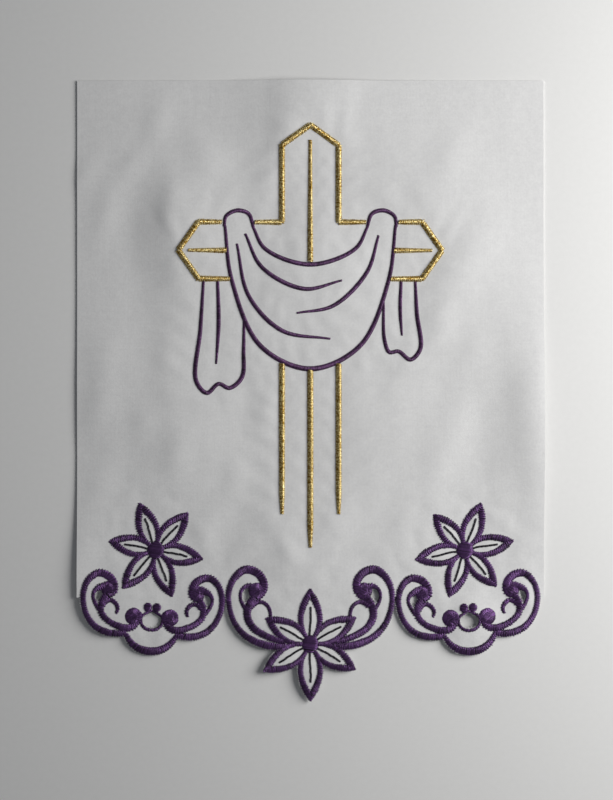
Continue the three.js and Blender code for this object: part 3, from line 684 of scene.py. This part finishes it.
def to_piece(name, points, faces):
    mesh = bpy.data.meshes.new(name)
    mesh.from_pydata(points.tolist(), [], faces.tolist())
    return new_object(name, mesh)


def only(piece):
    bpy.ops.object.select_all(action="DESELECT")
    piece.select_set(True)
    bpy.context.view_layer.objects.active = piece


SAME_PLACE, NO_AREA = 1e-5, 1e-6


def cut_sheet():
    """The cut cloth, flat: points, and triangles that face up."""
    outlines, holes = cut_loops()
    wide = CLOTH_WIDTH / 2
    body = np.array([(-wide, VALLEY), (wide, VALLEY), (wide, CLOTH_TOP), (-wide, CLOTH_TOP)])
    loops = [close_steps(body), *outlines, *holes]
    points = np.vstack(loops)
    edges, start = [], 0
    for loop in loops:
        edges += [(start + k, start + (k + 1) % len(loop)) for k in range(len(loop))]
        start += len(loop)
    tree = nearest(points)
    gx, gy = np.meshgrid(np.arange(1 - wide, wide, GRID_STEP), np.arange(GRID_LOW, CLOTH_TOP, GRID_STEP))
    gx = gx + (np.arange(len(gx)) % 2)[:, None] * GRID_STEP / 2
    grid = np.stack([gx.ravel(), gy.ravel()], axis=1)
    grid = grid[grid[:, 0] < wide - SIDE_CLEAR]
    far = np.array([tree.find((x, y, 0))[2] > EDGE_CLEAR for x, y in grid])
    points = np.vstack([points, grid[far]])
    made = delaunay_2d_cdt([Vector(p) for p in points], edges, [], 0, SAME_PLACE)
    place = np.array([tuple(v) for v in made[0]])
    faces = np.array(made[2])
    middle = place[faces].mean(axis=1)
    kept = (middle[:, 1] > VALLEY) & (np.abs(middle[:, 0]) < wide) & (middle[:, 1] < CLOTH_TOP)
    for loop in outlines:
        kept |= inside(middle, loop)
    for loop in holes:
        kept &= ~inside(middle, loop)
    faces = faces[kept]
    a, b, c = (place[faces[:, k]] for k in range(3))
    twice = (b[:, 0] - a[:, 0]) * (c[:, 1] - a[:, 1]) - (b[:, 1] - a[:, 1]) * (c[:, 0] - a[:, 0])
    faces = np.where((twice < 0)[:, None], faces[:, ::-1], faces)[np.abs(twice) > NO_AREA]
    used, faces = np.unique(faces, return_inverse=True)
    return place[used], faces.reshape(-1, 3), float(np.abs(twice).sum() / 2) * MM * MM


def make_cloth():
    place, faces, area = cut_sheet()
    top = np.c_[place, sheet_top(place[:, 0], place[:, 1])] * MM
    cloth = to_piece("cloth_sheet", top, faces)
    only(cloth)
    wall = cloth.modifiers.new("wall", "SOLIDIFY")
    wall.thickness = THICK * MM
    wall.offset = -1
    bpy.ops.object.modifier_apply(modifier="wall")
    bpy.ops.object.shade_smooth_by_angle(angle=math.radians(SHARP_ANGLE))
    return cloth, area


# Stitches: each one a small closed thread from needle hole to needle hole
def unit_thread():
    """One thread of unit length: a four-sided rod, cut into rings and drawn in at its ends."""
    quarter = (0, math.pi / 2, 0)
    bpy.ops.mesh.primitive_cylinder_add(vertices=4, radius=1, depth=1, location=(0.5, 0, 0), rotation=quarter)
    rod = bpy.context.object
    bpy.ops.object.transform_apply(location=True, rotation=True, scale=True)
    bpy.ops.object.mode_set(mode="EDIT")
    for share in RING_SHARES:
        bpy.ops.mesh.select_all(action="SELECT")
        bpy.ops.mesh.bisect(plane_co=(share, 0, 0), plane_no=(1, 0, 0))
    for end in (0, 1):
        bpy.ops.mesh.select_all(action="DESELECT")
        bpy.ops.object.mode_set(mode="OBJECT")
        for vertex in rod.data.vertices:
            vertex.select = abs(vertex.co.x - end) < SAME_PLACE
        bpy.ops.object.mode_set(mode="EDIT")
        bpy.ops.transform.resize(value=(1, THREAD_END, THREAD_END), center_override=(end, 0, 0))
    bpy.ops.object.mode_set(mode="OBJECT")
    points = np.array([tuple(v.co) for v in rod.data.vertices])
    faces = np.array([tuple(p.vertices) for p in rod.data.polygons])
    laid = np.array([tuple(loop.uv) for loop in rod.data.uv_layers[0].data]).reshape(-1, 4, 2)
    bpy.data.objects.remove(rod)
    return points, faces, laid


THREAD, THREAD_FACES, THREAD_MAP = unit_thread()
SHARE = THREAD[:, 0]
BED_MAP = np.array([[0.2, 0.2], [0.8, 0.2], [0.8, 0.8], [0.2, 0.8]])
CELL_RIM = 0.04


class Work:
    """The joined threads of one node, with their tones, kinds and maps."""

    def __init__(self):
        self.points, self.faces, self.tones, self.kinds, self.maps, self.cells = [], [], [], [], [], []
        self.count, self.cell = 0, 0

    def add(self, points, faces, tones, kind, laid, cells):
        self.points.append(points)
        self.faces.append(faces + self.count)
        self.tones.append(tones)
        self.kinds.append(np.full(len(faces), kind, np.int32))
        self.maps.append(laid)
        self.cells.append(cells + self.cell)
        self.count += len(points)
        self.cell += int(cells.max()) + 1

    def lay(self, start, end, ahead, lift, half_wide, half_high, kind, tone, level=sheet_top):
        """One thread from each start to each end, lifted over the sheet along its length."""
        count, corners = len(start), len(THREAD)
        axis = start[:, None] + (end - start)[:, None] * SHARE[None, :, None]
        points = np.empty((count, corners, 3))
        points[..., :2] = axis + ahead[:, None] * (THREAD[:, 1] * half_wide)[None, :, None]
        points[..., 2] = level(axis[..., 0], axis[..., 1]) + lift + THREAD[:, 2] * half_high
        faces = (THREAD_FACES[None] + np.arange(count)[:, None, None] * corners).reshape(-1, 4)
        laid = np.tile(THREAD_MAP, (count, 1, 1))
        cells = np.repeat(np.arange(count), len(THREAD_FACES))
        self.add(points.reshape(-1, 3), faces, np.repeat(tone, corners), kind, laid, cells)

    def bed(self, points, faces):
        """Padding under the threads, so no cloth shows between them; it is given a dark tone, painted shade
        between the threads.
        """
        laid = np.tile(BED_MAP, (len(faces), 1, 1))
        self.add(points, faces, np.full(len(points), BED_SHADE), 0, laid, np.zeros(len(faces), int))


def tones(count, start=0, spread=BORDER.spread):
    """A tone from 0 to 1 for each thread in a row; threads are lighter and darker by turns, painted shade
    that marks the stitches.
    """
    at = np.arange(count)
    # Lighter and darker by turns: painted shade between the stitches
    pair_shade = np.where(at % 2, PAIR_SHADE, -PAIR_SHADE)
    slow = SLOW_TONE * np.sin(at / SLOW_PACE + start)
    return np.clip(0.5 + luck.normal(0, spread, count) + slow + pair_shade, 0, 1)


def satin(work, line, column, order):
    """A column of satin stitch: threads from side to side, reaching out by turns."""
    place, width, ahead = stations(line, column.pitch)
    count = len(place)
    width = width + column.widen
    ragged = column.ragged * np.interp(width, RAGGED_WIDTHS, RAGGED_SHARES)
    turns = np.where(np.arange(count) % 2, 1, -1) * ragged
    uneven = luck.normal(0, END_SPREAD, (2, count)).clip(-END_LIMIT, END_LIMIT)
    reach = uneven * ragged + np.stack([turns, -turns])
    slant = ahead * ((SLANT + luck.normal(0, SLANT_SPREAD, count)) * width / 2)[:, None]
    across = left_of(ahead)
    start = place + across * (width / 2 + reach[0])[:, None] + slant
    end = place - across * (width / 2 + reach[1])[:, None] - slant
    rise = np.clip(column.share * width, LEAST_RISE, column.most)
    rise = rise + luck.normal(0, RISE_SPREAD, count) + RISE_STEP * order
    aside = np.abs(2 * SHARE - 1)
    lift = rise[:, None] * (1 - aside**column.power) - END_SINK * (aside > AT_END)
    half_wide = column.pitch * THREAD_WIDE
    work.lay(start, end, ahead, lift, half_wide, THREAD_HIGH, 0, tones(count, order, column.spread))
    column_bed(work, line, column)


def column_bed(work, line, column):
    place, width, ahead = stations(line, BED_PITCH)
    width = width + column.widen
    across = left_of(ahead)
    rise = np.clip(column.share * width, LEAST_RISE, column.most)
    rows = []
    for reach, lift in COLUMN_BED:
        at = place + across * (width * reach)[:, None]
        rows.append(np.c_[at, sheet_top(at[:, 0], at[:, 1]) + rise * lift])
    count = len(place)
    around = np.array([(k, (k + 1) % 4, (k + 1) % 4 + 4, k + 4) for k in range(4)])
    faces = (around[None] + 4 * np.arange(count - 1)[:, None, None]).reshape(-1, 4)
    last = 4 * count
    ends = np.array([(3, 2, 1, 0), (last - 4, last - 3, last - 2, last - 1)])
    work.bed(np.stack(rows, axis=1).reshape(-1, 3), np.vstack([faces, ends]))


def dome_bed(work, x, y, radius, high):
    n = DOME_SIDES
    turn = np.arange(n) / n * 2 * math.pi
    rows = []
    for reach, lift in DOME_BED:
        px, py = x + radius * reach * np.cos(turn), y + radius * reach * np.sin(turn)
        rows.append(np.c_[px, py, sheet_top(px, py) + lift * high])
    sides = [(k, (k + 1) % n, n + (k + 1) % n, n + k) for k in range(n)]
    top = [(n, n + k, n + k + 1, n + k + 2) for k in range(1, n - 2, 2)]
    under = [(0, k + 2, k + 1, k) for k in range(1, n - 2, 2)]
    work.bed(np.vstack(rows), np.array(sides + top + under))


def side_by_side(work, disc, turn, high, base):
    """Threads side by side over a low dome."""
    x, y, radius = disc
    pitch = BORDER.pitch
    count = max(LEAST_STATIONS, int(2 * radius / pitch))
    at = (np.arange(count) + 0.5) / count * 2 - 1
    ahead = np.array(heading(turn))
    across = np.array([-ahead[1], ahead[0]])
    half = radius * np.sqrt(1 - at**2).clip(DISC_SHORTEST) + luck.normal(0, ROUND_SPREAD, count)
    middle = np.array([x, y]) + at[:, None] * radius * ahead
    rise = high * np.sqrt(1 - (DISC_FALL * at) ** 2)
    lift = base + rise[:, None] * (1 - np.abs(2 * SHARE - 1) ** DISC_POWER)
    start, end = middle + half[:, None] * across, middle - half[:, None] * across
    beside = np.tile(ahead, (count, 1))
    work.lay(start, end, beside, lift, pitch * THREAD_WIDE, THREAD_HIGH, 0, tones(count))


def round_rise(radius, most, share, start):
    return min(most, share * radius + start)


def filled_disc(work, disc):
    """A disc of satin stitch."""
    x, y, radius = disc
    high = round_rise(radius, *DISC_RISE)
    side_by_side(work, disc, DISC_TURN, high, 0.0)
    dome_bed(work, x, y, radius, high)


def turned_ball(work, ball):
    """A ball where a scroll ends: threads that turn in from its rim, and a cap over them."""
    x, y, radius, side = ball
    count = int(2 * math.pi * radius / BALL_PITCH)
    turn = np.arange(count) / count * 2 * math.pi
    spun = turn + side * BALL_SPIN
    rim = np.stack([np.cos(turn), np.sin(turn)], axis=1)
    inner = np.stack([np.cos(spun), np.sin(spun)], axis=1)
    start = np.array([x, y]) + rim * (radius + luck.normal(0, ROUND_SPREAD, count))[:, None]
    end = np.array([x, y]) + inner * radius * BALL_CORE
    toward = unit(end - start)
    high = round_rise(radius, *BALL_RISE)
    lift = (high + luck.normal(0, RISE_SPREAD, count))[:, None] * (1 - (1 - SHARE) ** BALL_POWER)
    work.lay(start, end, left_of(toward), lift, BALL_WIDE, THREAD_HIGH, 0, tones(count))
    side_by_side(work, (x, y, radius * CAP_RADIUS), CAP_TURN * side, CAP_RISE, high * CAP_BASE)
    dome_bed(work, x, y, radius, high)


def frayed_hole(work, loop, kind):
    """A cut hole's edge: stitches that wrap it, and short white fibres that hang into it."""
    place, _, _ = stations(np.vstack([loop, loop[:1]]), HOLE_PITCH)
    count = len(place)
    inward = unit(place.mean(axis=0) - place)
    beside = left_of(inward)
    wrap, rim = place[::2], inward[::2]
    lift = np.tile(np.interp(SHARE, WRAP_SHARES, WRAP_LIFTS), (len(wrap), 1))
    start, end = wrap - rim * WRAP_OUT, wrap + rim * WRAP_IN
    work.lay(start, end, beside[::2], lift, WRAP_WIDE, WRAP_HIGH, 0, tones(len(wrap)))
    reach = FIBRE_LEAST + luck.gamma(FIBRE_SHAPE, FIBRE_SCALE, count).clip(0, FIBRE_MOST)
    aside = luck.normal(0, FIBRE_ASIDE, count)
    end = place + inward * reach[:, None] + beside * aside[:, None]
    lift = np.interp(SHARE, (0.0, 1.0), FIBRE_LIFTS) + luck.normal(0, FIBRE_LIFT_SPREAD, count)[:, None]
    work.lay(place - inward * WRAP_OUT, end, beside, lift, FIBRE_WIDE, FIBRE_HIGH, kind, tones(count))


def vein(work, line):
    """A petal's vein: short dark threads in two rows, laid end over end."""
    count = round(np.linalg.norm(line[-1, :2] - line[0, :2]) / VEIN_STITCH)
    place = line[np.linspace(0, len(line) - 1, count + 1).astype(int), :2]
    first, last = place[:-1], place[1:]
    toward = unit(last - first)
    across = left_of(toward)
    shift = luck.normal(0, VEIN_SPREAD, count)[:, None] * across
    lift = np.tile(VEIN_RISE * (1 - np.abs(2 * SHARE - 1) ** VEIN_POWER), (count, 1))
    for aside in VEIN_ASIDE:
        start = first - toward * VEIN_LAP + shift + across * aside * VEIN_WIDE
        end = last + toward * VEIN_LAP + shift + across * aside * VEIN_WIDE
        work.lay(start, end, across, lift, VEIN_WIDE * VEIN_HALF, VEIN_HIGH, 1, tones(count))


def bobbin(work, line, kind):
    """The same column from below: flat white threads."""
    place, width, ahead = stations(line, BOBBIN_PITCH)
    count = len(place)
    across = left_of(ahead) * (width / 2)[:, None]
    lift = np.zeros((count, len(SHARE)))
    start, end = place + across, place - across
    work.lay(start, end, ahead, lift, BOBBIN_WIDE, BOBBIN_HIGH, kind, tones(count), underside)


def make_stitches(node, parts, column, materials):
    """All that is stitched on a node, as one piece; the last of its materials is the white thread."""
    work = Work()
    for order, line in enumerate(parts["lines"]):
        satin(work, line, column, order % RISE_STEPS)
    for disc in parts["discs"]:
        filled_disc(work, disc)
    for ball in parts["balls"]:
        turned_ball(work, ball)
    for loop in parts["holes"]:
        frayed_hole(work, loop, len(materials) - 1)
    for line in parts["veins"]:
        vein(work, line)
    for line in parts["lines"]:
        bobbin(work, line, len(materials) - 1)
    piece = to_piece(f"{node}_satin", np.vstack(work.points) * MM, np.vstack(work.faces))
    mesh = piece.data
    mesh.attributes.new("tone", "FLOAT", "POINT").data.foreach_set("value", np.concatenate(work.tones))
    laid, cells = np.concatenate(work.maps), np.concatenate(work.cells)
    across = math.ceil(math.sqrt(work.cell))
    corner = np.stack([cells % across, cells // across], axis=1)[:, None]
    atlas = (corner + CELL_RIM + laid * (1 - 2 * CELL_RIM)) / across
    for name, values in (("thread", laid), ("OFBake", atlas)):
        mesh.uv_layers.new(name=name).data.foreach_set("uv", values.ravel())
    for material in materials:
        mesh.materials.append(material)
    mesh.polygons.foreach_set("material_index", np.concatenate(work.kinds))
    mesh.polygons.foreach_set("use_smooth", np.ones(len(mesh.polygons), bool))
    mesh.update()
    return piece


# Finishes
class Tone:
    """A value in a finish's nodes, for shader maths."""

    def __init__(self, finish, socket):
        self.finish, self.socket = finish, socket

    def maths(self, operation, first, second=0.0):
        return self.finish.node("ShaderNodeMath", {"operation": operation}, {0: first, 1: second})

    def __add__(self, other):
        return self.maths("ADD", self, other)

    def __radd__(self, other):
        return self.maths("ADD", other, self)

    def __sub__(self, other):
        return self.maths("SUBTRACT", self, other)

    def __rsub__(self, other):
        return self.maths("SUBTRACT", other, self)

    def __mul__(self, other):
        return self.maths("MULTIPLY", self, other)

    def __rmul__(self, other):
        return self.maths("MULTIPLY", other, self)

    def wave(self):
        return self.maths("SINE", self)

    def size(self):
        return self.maths("ABSOLUTE", self)


class Finish:
    """A material, with one method for any node."""

    def __init__(self, name):
        self.material = bpy.data.materials.new(name)
        self.material.use_nodes = True
        self.tree = self.material.node_tree
        self.shader = self.tree.nodes["Principled BSDF"]

    def put(self, socket, value):
        if isinstance(value, Tone):
            self.tree.links.new(value.socket, socket)
        else:
            socket.default_value = value

    def node(self, kind, settings=None, inputs=None, output=0):
        made = self.tree.nodes.new(kind)
        for name, value in (settings or {}).items():
            setattr(made, name, value)
        for name, value in (inputs or {}).items():
            self.put(made.inputs[name], value)
        return Tone(self, made.outputs[output])

    def set(self, **sockets):
        for name, value in sockets.items():
            self.put(self.shader.inputs[name.replace("_", " ")], value)

    def mix(self, share, first, second):
        """Two colours mixed: the node's sockets 6 and 7, and its output 2."""
        return self.node("ShaderNodeMix", {"data_type": "RGBA"}, {0: share, 6: first, 7: second}, 2)

    def noise(self, place, scale, detail):
        return self.node("ShaderNodeTexNoise", None, {"Vector": place, "Scale": scale, "Detail": detail})

    def stretched(self, place, scale):
        return self.node("ShaderNodeMapping", None, {"Vector": place, "Scale": scale})

    def bump(self, height, strength, distance):
        sockets = {"Strength": strength, "Distance": distance, "Height": height}
        return self.node("ShaderNodeBump", None, sockets)


def colour(r, g, b):
    return (r, g, b, 1.0)


# Weave: width of a yarn in metres, how far its fuzz moves it, the scale and detail of its noises, the
# strength and depth of its bump, and its colours
YARN, YARN_WANDER = 0.00042, 1.4
FUZZ, CLOUD, NAP, SLUB = (900.0, 2.0), (14.0, 4.0), (760.0, 1.0), (240.0, 2.0)
WARP, WEFT, YARN_DETAIL = (700.0, 26.0, 1.0), (22.0, 600.0, 1.0), 2.0
WEAVE_BUMP = (0.35, 0.00012)
CLOTH_SHADE, CLOTH_WHITE = colour(0.70, 0.70, 0.705), colour(0.80, 0.80, 0.80)


def cloth_finish():
    """Plain white weave: fine even yarns, thicker ones here and there, a soft nap; the gaps between the yarns
    are painted darker, as painted shade.
    """
    f = Finish("white_cotton")
    place = f.node("ShaderNodeTexCoord", output="Object")
    x = f.node("ShaderNodeSeparateXYZ", None, {0: place}, 0)
    y = f.node("ShaderNodeSeparateXYZ", None, {0: place}, 1)
    fuzz = f.noise(place, *FUZZ)
    yarn = math.pi / YARN
    weave = ((x * yarn + fuzz * YARN_WANDER).wave() * (y * yarn + fuzz * YARN_WANDER).wave()).size()
    warp = f.noise(f.stretched(place, WARP), 1.0, YARN_DETAIL)
    weft = f.noise(f.stretched(place, WEFT), 1.0, YARN_DETAIL)
    cloud = f.noise(place, *CLOUD)
    nap = f.noise(place, *NAP)
    slub = f.noise(place, *SLUB)
    # The weave term lightens the yarns' crowns and darkens the gaps between them: painted shade between the
    # yarns; the other noises are random tone
    shade = cloud * 0.36 + weave * 0.12 + (warp + weft) * 0.28 + nap + slub * 0.8 - 0.92
    f.set(
        Base_Color=f.mix(shade, CLOTH_SHADE, CLOTH_WHITE),
        Roughness=0.74 + 0.16 * weave,
        Sheen_Weight=0.12,
        Sheen_Roughness=0.5,
        Normal=f.bump(weave + fuzz * 0.5 + nap + (warp + weft) * 0.5, *WEAVE_BUMP),
    )
    return f.material


# Ply of a thread, whose stripes are painted shade in the grooves of its twist: turns along it and round it,
# in radians for its map; its worn places; and its bump
PLY_ALONG, PLY_ROUND = 75.0, 12.6
WORN, THREAD_BUMP = (60.0, 3.0), (0.3, 0.00006)


def thread_finish(name, dark, light, rough, metal, fine=2600.0, fleck_glint_strength=0.3):
    """Twisted thread: each stitch its own tone, flecked, with stripes along its ply; strong flecks, as on the
    gold, are painted glints, and the ply's stripes are painted shade.
    """
    f = Finish(name)
    place = f.node("ShaderNodeTexCoord", output="Object")
    tone = f.node("ShaderNodeAttribute", {"attribute_name": "tone"}, output="Fac")
    thread = f.node("ShaderNodeUVMap", {"uv_map": "thread"})
    around = f.node("ShaderNodeSeparateXYZ", None, {0: thread}, 0)
    along = f.node("ShaderNodeSeparateXYZ", None, {0: thread}, 1)
    # Stripes along the ply's twist: in the colour below they are painted shade in its grooves, and they also
    # feed the bump
    ply = (along * PLY_ALONG + around * PLY_ROUND).wave() * 0.5 + 0.5
    fleck_glint = f.noise(place, fine, 1.0)
    worn = f.noise(place, *WORN)
    # Flecks are random fibre tone; on the gold, where they are strong, they are painted glints
    share = tone * 0.75 + (fleck_glint - 0.5) * fleck_glint_strength + worn * 0.3 + ply * 0.12 - 0.13
    f.set(
        Base_Color=f.mix(share, dark, light),
        Roughness=rough + 0.18 * fleck_glint,
        Metallic=metal,
        Normal=f.bump(ply + fleck_glint, *THREAD_BUMP),
    )
    return f.material


# Floor: the scale and detail of its grain, and its colours
FLOOR_GRAIN = (300.0, 3.0)
FLOOR_SHADE, FLOOR_PALE = colour(0.76, 0.76, 0.755), colour(0.80, 0.80, 0.795)


def floor_finish():
    f = Finish("pale_floor")
    place = f.node("ShaderNodeTexCoord", output="Object")
    grain = f.noise(place, *FLOOR_GRAIN)
    f.set(Base_Color=f.mix(grain, FLOOR_SHADE, FLOOR_PALE), Roughness=0.9)
    return f.material


# Pieces
cloth, flat_area = make_cloth()
cloth.data.materials.append(cloth_finish())
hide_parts("cloth")
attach(cloth, "root")

# Threads: dark and light colour, roughness, metal, and for the gold the scale and strength of its flecks,
# which are painted glints
Thread = namedtuple("Thread", "dark light rough metal")
PURPLE = Thread(colour(0.020, 0.0135, 0.0225), colour(0.210, 0.092, 0.302), 0.24, 0.65)
PLUM = Thread(colour(0.020, 0.009, 0.021), colour(0.215, 0.098, 0.248), 0.24, 0.65)
DARK = Thread(colour(0.004, 0.003, 0.006), colour(0.018, 0.012, 0.026), 0.42, 0.0)
METAL = Thread(colour(0.30, 0.155, 0.004), colour(1.0, 0.86, 0.44), 0.22, 0.78)
METAL_FINE, METAL_GLINTS = 1150.0, 3.4
WHITE = Thread(colour(0.55, 0.55, 0.55), colour(0.80, 0.80, 0.80), 0.5, 0.0)

purple = thread_finish("purple_thread", *PURPLE)
plum = thread_finish("plum_thread", *PLUM)
black = thread_finish("dark_thread", *DARK)
gold = thread_finish("gold_thread", *METAL, METAL_FINE, METAL_GLINTS)
white = thread_finish("bobbin_thread", *WHITE)

# How the nodes are stitched: column, thread and slot, for the border and for what has its own
BORDER_WORK = (BORDER, purple, "purple_thread")
OWN_WORK = {"cross": (GOLD, gold, "gold_thread"), "drape": (DRAPE, plum, "purple_thread")}
for node, parts in STITCHED.items():
    column, thread, slot = OWN_WORK.get(node.split("_")[0], BORDER_WORK)
    materials = [thread, black, white] if parts["veins"] else [thread, white]
    piece = make_stitches(node, parts, column, materials)
    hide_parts(node)
    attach(piece, "root")

# Floor, light and camera, in metres
FLOOR_SIZE, FLOOR_LEVEL = 6.0, -0.0002
ROOM_TINT, ROOM_LIGHT = (0.80, 0.83, 0.88, 1), 0.155
LAMP_PLACE, LAMP_SIZE, LAMP_POWER, LAMP_TINT = (0.70, 0.13, 0.43), 0.6, 8.4, (1.0, 0.99, 0.97)
CAMERA_PLACE, CAMERA_LENS, CAMERA_SENSOR = (-0.0023, -0.0057, 0.9), 67.4, 36

bpy.ops.mesh.primitive_plane_add(size=FLOOR_SIZE, location=(0, 0, FLOOR_LEVEL))
floor = bpy.context.object
floor.name = "floor"
floor.data.materials.append(floor_finish())

world = bpy.context.scene.world or bpy.data.worlds.new("room")
bpy.context.scene.world = world
world.use_nodes = True
background = world.node_tree.nodes["Background"]
background.inputs["Color"].default_value = ROOM_TINT
background.inputs["Strength"].default_value = ROOM_LIGHT

glow = bpy.data.lights.new("lamp", "AREA")
glow.shape = "DISK"
glow.size = LAMP_SIZE
glow.energy = LAMP_POWER
glow.color = LAMP_TINT
lamp = new_object("lamp", glow)
lamp.location = LAMP_PLACE
lamp.rotation_euler = (-Vector(LAMP_PLACE)).to_track_quat("-Z", "Y").to_euler()

eye = bpy.data.cameras.new("camera")
eye.lens = CAMERA_LENS
eye.sensor_width = CAMERA_SENSOR
camera = new_object("camera", eye)
camera.location = CAMERA_PLACE
bpy.context.scene.camera = camera
bpy.context.scene.view_settings.view_transform = "Standard"

bpy.context.view_layer.update()
